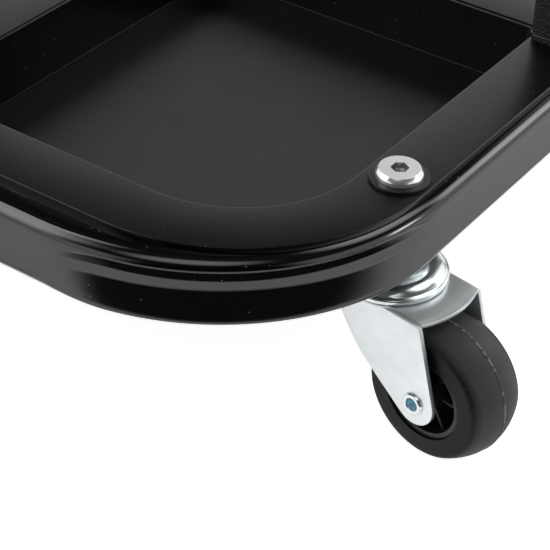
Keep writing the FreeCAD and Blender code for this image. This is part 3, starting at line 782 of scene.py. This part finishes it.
def cap_nuts():
    """Round heads with a chamfered hex socket, each standing on its washer."""
    segments = 72
    key = nut_key / 2
    pit = nut_head_height - nut_key_depth
    outline = [(kingpin_radius, 0, 0), (nut_head, 0, nut_foot_round),
               (nut_head, nut_rim_height, nut_rim_round), (nut_head_top, nut_head_height, nut_edge),
               (key + nut_key_rim, nut_head_height, 0)]
    rings = around_z(soft_outline(outline, 4, closed=False), segments)
    rings.append(hexagon_ring(key + nut_key_chamfer, nut_head_height, segments))
    rings.append(hexagon_ring(key, nut_head_height - nut_key_lead, segments))
    rings.append(hexagon_ring(key, pit, segments))
    tip = [(key - nut_pit_inset, pit - nut_pit_lip), (nut_pit_tip, pit - nut_pit_depth)]
    rings += around_z(tip, segments)
    bm = bmesh.new()
    add_loft(bm, rings)
    nut = to_object(bm, "nut", NICKEL, 25)
    turn = Matrix.Rotation(nut_turn, 4, "Z")
    for corner in CORNERS:
        stem = joints["swivel_turn_" + corner]["pos_m"]
        seat = Matrix.Translation((stem[0], stem[1], tray_high.z + nut_washer_sheet))
        twin = twin_at(nut, "cap_nut_" + corner, seat @ turn)
        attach(twin, "base")
        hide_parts("cap_nuts")
    bpy.data.objects.remove(nut)


# Casters
def caster_places():
    """Each caster's own frame: the origin on the floor under the stem and X towards the wheel."""
    places = {}
    for corner in CORNERS:
        stem = Vector(joints["swivel_turn_" + corner]["pos_m"])
        ahead = Vector(joints["wheel_roll_" + corner]["pos_m"]) - stem
        ahead.z = 0
        forward = ahead.normalized()
        place = Matrix((forward, UP.cross(forward), UP)).transposed().to_4x4()
        place.translation = Vector((stem.x, stem.y, 0))
        places[corner] = place
    return places


axle_place = Vector(joints["wheel_roll_front_left"]["pos_m"])
stem_to_wheel = axle_place - Vector(joints["swivel_turn_front_left"]["pos_m"])
trail = math.hypot(stem_to_wheel.x, stem_to_wheel.y)
wheel_radius = joints["wheel_roll_front_left"]["pos_m"][2]
to_axle = Matrix.Translation((trail, 0, wheel_radius))
PLACES = caster_places()
WHEEL_PLACES = {corner: place @ to_axle for corner, place in PLACES.items()}


def wheel_tread():
    half = wheel_width / 2
    crown = []
    steps = 20
    for step in range(1, 2 * steps):
        y = half * (step / steps - 1) * tread_crown_share
        drop = (wheel_radius - wheel_shoulder) * (y / half) ** 2
        ridge = seam_height * math.exp(-(y / seam_width * 2) ** 2)
        crown.append((wheel_radius - seam_height - drop + ridge, y))
    side = soft_outline([(hub_radius, half, 0), (wheel_shoulder, half, shoulder_soft),
                         (crown[-1][0], crown[-1][1], 0)], 5, closed=False)
    profile = [(r, -y) for r, y in side[:-1]] + crown + [(r, y) for r, y in reversed(side[:-1])]
    bm = bmesh.new()
    add_loft(bm, around_y(profile, 144), closed=True)
    on_casters(to_object(bm, "tread", RUBBER, 40), "wheel_tread", "wheel", WHEEL_PLACES)


def wheel_hub():
    rim_half = wheel_width / 2 - hub_inset
    boss_half = wheel_width / 2 + hub_boss_proud
    rim_inner = hub_radius - hub_rim
    web = hub_web / 2
    half = [(axle_barrel + axle_play, boss_half, hub_bore_round), (hub_boss, boss_half, hub_boss_round),
            (hub_boss, web, hub_foot_round), (rim_inner, web, hub_dish_round),
            (rim_inner, rim_half, hub_rim_round), (hub_radius, rim_half, hub_rim_round)]
    outline = half + [(r, -y, reach) for r, y, reach in reversed(half)]
    bm = bmesh.new()
    add_loft(bm, around_y(soft_outline(outline, 3), 96), closed=True)
    reach_in = hub_boss - hub_rib_bite
    reach_out = rim_inner + hub_rib_bite
    tall = wheel_width / 2 - hub_rib_inset
    sides = [(-1, -1), (1, -1), (1, 1), (-1, 1)]
    section = soft_outline([(x * hub_rib / 2, y * tall, hub_rib_round) for x, y in sides], 3)
    for angle in full_turn(hub_ribs):
        turn = Matrix.Rotation(angle, 4, "Y")
        add_loft(bm, [[turn @ Vector((x, y, z)) for z, y in section] for x in (reach_in, reach_out)])
    on_casters(to_object(bm, "hub", HUB), "wheel_hub", "wheel", WHEEL_PLACES)


def fork_rows():
    """Rows of the fork's pressed sheet from one eye over the top to the other: (y, z, back x, front x)."""
    skin = fork_sheet / 2
    side = fork_outside - skin
    roof = fork_top - skin
    fold = fork_fold - skin
    knee = Vector((trail * knee_x_share, wheel_radius + (fork_top - wheel_radius) * knee_z_share))
    flank = Vector((knee.x - (knee.x + fork_back) * flank_x_share,
                    knee.y + (fork_top - knee.y) * flank_z_share / 2))
    eye = Vector((trail, wheel_radius))

    def touch(start, way):
        gap = start - eye
        turn = math.atan2(gap.y, gap.x) - way * math.acos(fork_eye / gap.length)
        return eye + Vector((math.cos(turn), math.sin(turn))) * fork_eye

    front_top = Vector((fork_front, fork_top))
    front_touch = touch(front_top, 1)
    back_touch = touch(knee, -1)
    back_top = Vector((-fork_back, fork_top))

    def round_edge(z, way):
        rise = min(max((z - eye.y) / fork_eye, -1), 1)
        return eye.x + way * fork_eye * math.sqrt(max(1 - rise * rise, 0))

    def straight(start, end, z):
        return start.x + (end.x - start.x) * (z - start.y) / (end.y - start.y)

    def front_at(z):
        return straight(front_touch, front_top, z) if z > front_touch.y else round_edge(z, 1)

    def back_at(z):
        if z < back_touch.y:
            return round_edge(z, -1)
        if z < knee.y:
            return straight(back_touch, knee, z)
        share = (z - knee.y) / (back_top.y - knee.y)
        bow = 4 * (flank - knee.lerp(back_top, 0.5)).x * share * (1 - share)
        return straight(knee, back_top, z) + bow

    rows = []
    for step in range(12):
        angle = math.radians(eye_start + eye_step * step)
        z = eye.y + fork_eye * math.sin(angle)
        rows.append((-side, z))
    low = rows[-1][1]
    for step in range(1, 21):
        rows.append((-side, low + (roof - fold - low) * step / 20))
    for step in range(1, 7):
        angle = math.pi / 2 * step / 6
        rows.append((-side + fold * (1 - math.cos(angle)), roof - fold * (1 - math.sin(angle))))
    flat = [(-(side - fold) * (1 - step / 8), roof) for step in range(1, 9)]
    half = rows + flat
    whole = half + [(-y, z) for y, z in reversed(half[:-1])]
    result = []
    for y, z in whole:
        bulge = fork_bow * max(1 - (y / (side - fold)) ** 2, 0)
        result.append((y, z, back_at(z), front_at(z) + bulge * (1 if z > roof - fold / 2 else 0)))
    return result


def caster_fork():
    bm = bmesh.new()
    columns = 16
    rows = []
    for y, z, back, front in fork_rows():
        across = [back + (front - back) * step / columns for step in range(columns + 1)]
        rows.append([bm.verts.new((x, y, z)) for x in across])
    for low, high in zip(rows, rows[1:]):
        for index in range(columns):
            bm.faces.new((low[index], low[index + 1], high[index + 1], high[index]))
    fork = to_object(bm, "fork", ZINC, 50)
    sheet = fork.modifiers.new("sheet", "SOLIDIFY")
    sheet.thickness = fork_sheet
    sheet.offset = 0
    edge = fork.modifiers.new("edge", "BEVEL")
    edge.width = fork_edge
    edge.segments = 2
    edge.limit_method = "ANGLE"
    edge.angle_limit = math.radians(60)
    apply_modifiers(fork)
    bm = bmesh.new()
    bm.from_mesh(fork.data)
    under = fork_ceiling + fork_disc_lift
    over = fork_top + fork_disc_proud
    disc = [(kingpin_radius, under, 0), (fork_disc, under, fork_disc_foot_round),
            (fork_disc, over, fork_disc_top_round), (kingpin_radius, over, 0)]
    add_loft(bm, around_z(soft_outline(disc, 3), 72), closed=True)
    bpy.data.objects.remove(fork)
    on_casters(to_object(bm, "fork", ZINC, 50), "caster_fork", "swivel", PLACES)


def race_cap():
    """Domed cap with a dished middle, a crease above the skirt and a rolled rim."""
    top = cap_high.z
    flat = top - cap_dip
    rim = flat - cap_skirt
    outline = [(kingpin_radius, flat, 0), (cap_dish - cap_dish_round, flat, cap_dish_round),
               (cap_crest, top, cap_crest_round),
               (cap_radius - cap_brow, top - cap_brow_drop, cap_brow_round),
               (cap_radius - cap_neck, rim + cap_neck_rise, cap_neck_round),
               (cap_radius, rim + cap_flare_rise, cap_neck_round),
               (cap_radius, rim - cap_bead, cap_bead_round),
               (cap_radius - cap_roll, rim - cap_bead, cap_bead_round),
               (cap_radius - cap_roll - cap_sheet / 2, rim, cap_roll_round),
               (cap_crest, top - cap_sheet, cap_crest_round), (kingpin_radius, flat - cap_sheet, 0)]
    bm = bmesh.new()
    add_loft(bm, around_z(soft_outline(outline, 4), 96), closed=True)
    on_casters(to_object(bm, "cap", BRIGHT_ZINC, 30), "race_cap", "base", PLACES)


def lower_race():
    low, high = race_low.z, race_high.z
    bed = high - race_groove
    outline = [(race_inner, low, race_bore_round), (race_outer + race_flare, low, race_round),
               (race_outer, high, race_brim_round), (race_outer - race_lip, high, race_round),
               (race_outer - race_wall, bed, race_round), (race_inner + race_wall, bed, race_round),
               (race_inner + race_lip, high, race_round), (race_inner, high, race_round)]
    bm = bmesh.new()
    add_loft(bm, around_z(soft_outline(outline, 3), 96), closed=True)
    on_casters(to_object(bm, "race", BRIGHT_ZINC, 30), "lower_race", "swivel", PLACES)


def axle_sleeve():
    """The sleeve's flange with a rounded brim and a countersunk mouth."""
    face = -fork_outside
    out = face - axle_flange_height
    outline = [(axle_screw, out + axle_mouth_depth, axle_bore_round),
               (axle_screw + axle_mouth_step, out + axle_mouth_lip, axle_mouth_round),
               (axle_screw + axle_mouth, out, axle_mouth_round),
               (axle_flange - axle_brim, out + axle_brim_drop, axle_brim_round),
               (axle_flange, face, axle_foot_round), (axle_barrel, face, 0),
               (axle_barrel, fork_outside, 0), (axle_screw, fork_outside, 0)]
    bm = bmesh.new()
    add_loft(bm, around_y(soft_outline(outline, 4), 48), closed=True)
    on_casters(to_object(bm, "sleeve", BRIGHT_ZINC, 30), "axle_sleeve", "swivel", WHEEL_PLACES)


def thread_lock_spots():
    """Dried locking fluid over the screw's end inside each sleeve."""
    face = -fork_outside - axle_flange_height + lock_depth
    rings = []
    for share, lift in lock_rise:
        ring = []
        for angle in full_turn(40):
            radius = axle_screw * share
            x, z = radius * math.cos(angle), radius * math.sin(angle)
            lump = noise.noise(Vector((x, z, 0.3)) * lock_grain) * lock_lump if share < 1 else 0
            ring.append(Vector((x, face - lift - lump, z)))
        rings.append(ring)
    bm = bmesh.new()
    add_loft(bm, [[p + Vector((0, lock_root, 0)) for p in rings[0]]] + rings)
    spot = to_object(bm, "spot", LOCK, 60)
    for corner, place in WHEEL_PLACES.items():
        twin = twin_at(spot, "thread_lock_" + corner, place)
        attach(twin, "swivel_" + corner)
    bpy.data.objects.remove(spot)


# Seat
def foot_welds():
    """A fine bead where each leg meets its foot plate."""
    outer = plate_high.y
    for name, side in (("front", -1), ("back", 1)):
        low, high = sorted((side * (outer - leg_depth), side * outer))
        path = rounded_rectangle((-leg_high.x, low), (leg_high.x, high), [leg_edge] * 4, plate_high.z, 6)
        bm = bmesh.new()
        rings = []
        count = len(path)
        for index, place in enumerate(path):
            tangent = (path[(index + 1) % count] - path[index - 1]).normalized()
            outward = tangent.cross(UP)
            size = weld_bead * (weld_level_share + weld_lump_share * noise.noise(place * weld_grain))
            rings.append(round_section(place, outward, UP, size, 8))
        add_loft(bm, rings, closed=True)
        bead = to_object(bm, "foot_weld_" + name, ENAMEL, 60)
        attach(bead, "base")


def cushion_ring(inset, z, side_steps=22, corner_steps=10):
    """The pad's plan outline: bowed sides drawn in between round corners."""
    half_x = cover_high.x - inset
    half_y = cover_high.y - inset
    radius = max(pad_corner - inset, pad_corner * corner_least_share)
    radius = min(radius, half_x * corner_most_share, half_y * corner_most_share)
    points = []
    for index, (sx, sy) in enumerate(CORNERS.values()):
        for step in range(corner_steps + 1):
            angle = math.radians(180 + 90 * (index + step / corner_steps))
            points.append(Vector((sx * (half_x - radius) + radius * math.cos(angle),
                                  sy * (half_y - radius) + radius * math.sin(angle), z)))
        along = half_x - radius if index % 2 == 0 else half_y - radius
        draw = min(pad_draw, along / 4)
        for step in range(1, side_steps):
            run = 2 * step / side_steps - 1
            pull = draw * (1 - run * run)
            spot = ((run * along, -half_y + pull), (half_x - pull, run * along),
                    (-run * along, half_y - pull), (-half_x + pull, -run * along))[index]
            points.append(Vector((spot[0], spot[1], z)))
    return points


def cushion_levels(start):
    """Insets and heights of the pad, its padded part start inside the cover that it stands for."""
    seam = board_high.z + pad_side + cover_skin - start
    levels = [(inset, cover_low.z + rise) for inset, rise in pad_foot] + [(0, board_high.z)]
    for step in range(9):
        turn = math.pi / 2 * step / 8 * shoulder_turn_share
        levels.append((start + shoulder_inset * (1 - math.cos(turn)),
                       seam - shoulder_inset + shoulder_inset * math.sin(turn)))
    crown = cover_high.z - start - seam - cloth_start_drop
    for share in crown_shares:
        rise = crown * math.sin(math.pi / 2 * share / crown_shares[-1])
        levels.append((start + cover_high.y * share, seam + rise))
    return levels


def swell(piece, rest):
    """Blows the pad up as cloth under pressure, with its underside held and each move capped."""
    held = piece.vertex_groups.new(name="held")
    hold_below = board_high.z
    held.add([v.index for v in piece.data.vertices if v.co.z < hold_below], 1.0, "REPLACE")
    cloth = piece.modifiers.new("cloth", "CLOTH")
    for name, value in CLOTH.items():
        setattr(cloth.settings, name, value)
    cloth.settings.effector_weights.gravity = 0
    cloth.settings.vertex_group_mass = "held"
    cloth.point_cache.frame_start = 1
    cloth.point_cache.frame_end = cloth_frames
    for step in range(1, cloth_frames + 1):
        scene.frame_set(step)
    graph = bpy.context.evaluated_depsgraph_get()
    blown = [v.co.copy() for v in piece.evaluated_get(graph).data.vertices]
    piece.modifiers.clear()
    scene.frame_set(1)
    normals = [v.normal.copy() for v in piece.data.vertices]
    for vertex, place, start, normal in zip(piece.data.vertices, blown, rest, normals):
        move = place - start
        sink = -foam_give - move.dot(normal)
        if sink > 0:
            move += normal * sink
        if move.length > 0:
            move *= cloth_cap * math.tanh(move.length / cloth_cap) / move.length
        vertex.co = start + move


def seat_cushion():
    bm = bmesh.new()
    add_loft(bm, [cushion_ring(inset, z) for inset, z in cushion_levels(cloth_start_inset)])
    pad = to_object(bm, "seat_pad", VINYL, 180)
    remesh = pad.modifiers.new("even", "REMESH")
    remesh.mode = "VOXEL"
    remesh.voxel_size = cloth_voxel
    apply_modifiers(pad)
    swell(pad, [v.co.copy() for v in pad.data.vertices])
    subdivide = pad.modifiers.new("smooth", "SUBSURF")
    subdivide.levels = 1
    subdivide.render_levels = 1
    apply_modifiers(pad)
    bm = bmesh.new()
    bm.from_mesh(pad.data)
    window_x = cover_high.x - cover_hem / 2
    window_y = cover_high.y - cover_hem / 2
    inside = []
    for face in bm.faces:
        spot = face.calc_center_median()
        if spot.z < cover_low.z + cover_open_above and abs(spot.x) < window_x and abs(spot.y) < window_y:
            inside.append(face)
    bmesh.ops.delete(bm, geom=inside, context="FACES")
    bpy.data.objects.remove(pad)
    pad = to_object(bm, "seat_pad", VINYL, 180)
    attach(pad, "base")
    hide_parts("seat_cover", "seat_foam")
    return pad


def seat_seam(pad):
    """A welt round the pad's shoulder and a row of stitches under it, laid on the finished pad."""
    level = board_high.z + pad_side + cover_skin - welt_drop
    path = []
    for spot in cushion_ring(welt_inset, level, 60, 30):
        path.append(pad.closest_point_on_mesh(spot)[1])
    for _ in range(welt_passes):
        path = [(path[i - 1] + p + path[(i + 1) % len(path)]) / 3 for i, p in enumerate(path)]
    rings = []
    lows = []
    for index, place in enumerate(path):
        along = (path[(index + 1) % len(path)] - path[index - 1]).normalized()
        normal = pad.closest_point_on_mesh(place)[2]
        aside = along.cross(normal).normalized()
        normal = aside.cross(along)
        rings.append(round_section(place + normal * welt_lift, normal, aside, welt_radius, 10))
        down = aside if aside.z < 0 else -aside
        lows.append(pad.closest_point_on_mesh(place + down * stitch_gap)[1:3])
    bm = bmesh.new()
    add_loft(bm, rings, closed=True)
    welt = to_object(bm, "seat_welt", VINYL, 60)
    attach(welt, "base")
    bm = bmesh.new()
    travel = 0.0
    due = 0.0
    for index, (place, normal) in enumerate(lows):
        after = lows[(index + 1) % len(lows)][0]
        step_length = (after - place).length
        while step_length > 0 and due < travel + step_length:
            along = (after - place).normalized()
            aside = along.cross(normal).normalized()
            middle = place + along * (due - travel)
            bars = []
            for share, rise in stitch_arc:
                heart = middle + along * share * stitch_length + normal * rise
                bars.append(round_section(heart, normal, aside, thread_radius, 6))
            add_loft(bm, bars)
            due += stitch_pitch
        travel += step_length
    stitches = to_object(bm, "seat_stitches", THREAD, 60)
    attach(stitches, "base")


def seat_hem():
    """The cover's edge turned in under the board, gathered into pleats at the corners."""
    bottom = cover_low.z
    outer = cushion_ring(hem_inset, bottom, 44, 30)
    shrink_x = 1 - cover_hem / cover_high.x
    shrink_y = 1 - cover_hem / cover_high.y
    rows = []
    for share in hem_shares:
        row = []
        for place in outer:
            corner_x = abs(place.x) - (cover_high.x - pad_corner)
            corner_y = abs(place.y) - (cover_high.y - pad_corner)
            near = max(min(min(corner_x, corner_y) / pleat_reach, 1), 0)
            turn = math.atan2(corner_y, corner_x)
            pleat = near * share * pleat_depth * (math.cos(turn * pleat_turns) - 1)
            target = Vector((place.x * shrink_x, place.y * shrink_y, bottom))
            row.append(place.lerp(target, share) + UP * (pleat + hem_lift))
        rows.append(row)
    upper = [[place + UP * (cover_skin * hem_sheet_share) for place in row] for row in rows]
    bm = bmesh.new()
    add_loft(bm, rows + upper[::-1], closed=True)
    hem = to_object(bm, "seat_hem", VINYL, 40)
    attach(hem, "base")


# Studio sizes and levels
floor_reach = 12.0
floor_drop = 0.0003
floor_bright = 0.318
floor_dim = 0.372
ambient_level = 0.42
ceiling_level = 0.04
back_level = 0.94
front_azimuth = math.radians(34)
wedge_azimuth = math.radians(50)
floor_white = (0.95, 0.95, 0.95, 1)
floor_dark = (0.03, 0.03, 0.03, 1)

# Spans: the range of a value, and the levels at its two ends
wedge_span = (0.66, 0.80, 0.0, 1.0)
seen_span = (0.0, 1.0, 1.0, 0.82)
glow_far_span = (0.12, 0.19, 0.05, 0.34)
glow_near_span = (0.085, 0.125, 0.50, 0.0)
horizon_span = (0.36, 0.52, 1.0, ceiling_level)
open_side_span = (0.66, 0.86, 1.0, 0.0)
behind_span = (0.40, 0.75, 0.0, 1.0)
low_back_span = (0.60, 0.67, back_level, 0.0)
lamp_span = (0.12, 0.5, 1.0, 0.0)

# Lamps: azimuth from +X towards +Y, elevation, distance, width, height and power
LAMPS = {
    "left_box": (136, 36, 1.6, 1.6, 1.8, 23.0),
    "right_box": (-34, 26, 1.6, 0.9, 1.1, 9.0),
    "front_box": (204, 53, 1.6, 1.7, 1.1, 7.5),
    "back_box": (34, 20, 1.7, 2.2, 0.8, 1.5),
    "high_box": (104, 60, 1.6, 1.3, 1.0, 9.0),
    "cap_box": (-52, 54, 1.6, 1.5, 1.3, 13.0),
    "lens_box": (-70, 13, 1.6, 0.5, 0.4, 4.5),
}


# Stage
def pale_floor():
    """White to the camera. Gloss sees it dim in a wedge in front of the corner, and with a band of glow."""
    bm = bmesh.new()
    bmesh.ops.create_grid(bm, x_segments=4, y_segments=4, size=floor_reach)
    bmesh.ops.translate(bm, verts=bm.verts, vec=(0, 0, -floor_drop))
    f = Finish("pale_floor", roughness=0.9, specular_ior_level=0.0)
    far = f.ease(f.vector("LENGTH", f.place), floor_bright, floor_dim, 0.0, 1.0)
    towards = (-math.cos(wedge_azimuth), -math.sin(wedge_azimuth), 0)
    wedge = f.ease(f.vector("DOT_PRODUCT", f.vector("NORMALIZE", f.place), towards), *wedge_span)
    near = f.math("SUBTRACT", 1.0, f.math("MULTIPLY", far, wedge))
    camera, mirrored = f.rays()
    f.set("Base Color", f.mix(near, floor_dark, floor_white))
    seen = f.math("MULTIPLY", camera, f.ease(near, *seen_span))
    core = (ring_high.x - ring_bend, ring_high.y - ring_bend, 0)
    beyond = f.vector("SUBTRACT", f.vector("ABSOLUTE", f.place), core)
    gap = f.vector("LENGTH", f.vector("MAXIMUM", beyond))
    glow = f.math("ADD", f.ease(gap, *glow_far_span), f.ease(gap, *glow_near_span))
    shown = f.math("MULTIPLY", mirrored, f.math("MULTIPLY", near, glow))
    f.set("Emission Color", (1, 1, 1, 1))
    f.set("Emission Strength", f.math("ADD", seen, shown))
    to_object(bm, "floor", f.material)


def pale_world():
    """White to the camera. Gloss sees a white horizon, a low glow behind, a dim ceiling and a dim front."""
    world = bpy.data.worlds.new("studio")
    world.use_nodes = True
    scene.world = world
    n = Nodes(world.node_tree)
    background = n.tree.nodes["Background"].inputs
    way = n.node("TexCoord").outputs["Generated"]
    height = n.axis(way, "Z")
    front = n.vector("DOT_PRODUCT", way, (-math.cos(front_azimuth), -math.sin(front_azimuth), 0))
    shown = n.math("MULTIPLY", n.ease(height, *horizon_span), n.ease(front, *open_side_span))
    behind = n.ease(n.math("MULTIPLY", front, -1.0), *behind_span)
    shown = n.math("MAXIMUM", shown, n.math("MULTIPLY", behind, n.ease(height, *low_back_span)))
    camera, mirrored = n.rays()
    spread = n.math("SUBTRACT", 1.0, n.math("MAXIMUM", camera, mirrored))
    level = n.math("ADD", camera, n.math("MULTIPLY", mirrored, shown))
    n.feed(background["Color"], (1, 1, 1, 1))
    n.feed(background["Strength"], n.math("ADD", level, n.math("MULTIPLY", spread, ambient_level)))


def soft_box(name, azimuth, elevation, distance, width, height, power):
    """An area lamp with a soft edge that looks at the base."""
    lamp = bpy.data.lights.new(name, "AREA")
    lamp.shape = "ELLIPSE"
    lamp.size = width
    lamp.size_y = height
    lamp.energy = power
    lamp.use_nodes = True
    n = Nodes(lamp.node_tree)
    off_centre = n.vector("DISTANCE", n.node("NewGeometry").outputs["Parametric"], (0.5, 0.5, 0))
    n.feed(n.tree.nodes["Emission"].inputs["Strength"], n.ease(off_centre, *lamp_span))
    a, e = math.radians(azimuth), math.radians(elevation)
    away = Vector((math.cos(a) * math.cos(e), math.sin(a) * math.cos(e), math.sin(e)))
    holder = bpy.data.objects.new(name, lamp)
    scene.collection.objects.link(holder)
    holder.location = Vector((0, 0, 0.1)) + away * distance
    holder.rotation_mode = "QUATERNION"
    holder.rotation_quaternion = away.to_track_quat("Z", "Y")


# Camera: fitted to the photographed corner
camera_place = Vector((-0.5273, -0.3938, 0.3965))
camera_azimuth = 33.986
camera_dip = 36.570
camera_roll = 2.148
camera_focal_pixels = 1811.0
photo_pixels = 550


def photo_camera():
    data = bpy.data.cameras.new("camera")
    data.lens = data.sensor_width * camera_focal_pixels / photo_pixels
    data.clip_start = 0.02
    data.clip_end = 60
    a, e, r = (math.radians(value) for value in (camera_azimuth, camera_dip, camera_roll))
    forward = Vector((math.cos(a) * math.cos(e), math.sin(a) * math.cos(e), -math.sin(e)))
    level = Vector((math.sin(a), -math.cos(a), 0))
    upward = level.cross(forward)
    right = level * math.cos(r) + upward * math.sin(r)
    above = upward * math.cos(r) - level * math.sin(r)
    camera = bpy.data.objects.new("camera", data)
    scene.collection.objects.link(camera)
    turn = Matrix((right, above, -forward)).transposed().to_4x4()
    camera.matrix_world = Matrix.Translation(camera_place) @ turn
    scene.camera = camera


base_ring()
tool_tray()
cap_nuts()
wheel_tread()
wheel_hub()
caster_fork()
race_cap()
lower_race()
axle_sleeve()
thread_lock_spots()
foot_welds()
seat_seam(seat_cushion())
seat_hem()

dress(NYLON, "stem_washers")
dress(COAT, "seat_frame", "foot_plates", "seat_plate")
dress(ZINC, "foot_bolts", "foot_washers", "foot_nuts", "frame_bolts", "frame_washers", "frame_nuts",
      "tee_nuts", "board_screws", "cover_staples", *each_corner("caster_stem"), *each_corner("axle_screw"))
dress(STEEL, *each_corner("ball_ring"))
dress(PLY, "seat_board")

scene.view_settings.view_transform = "Standard"
pale_floor()
pale_world()
for lamp_name, settings in LAMPS.items():
    soft_box(lamp_name, *settings)
photo_camera()
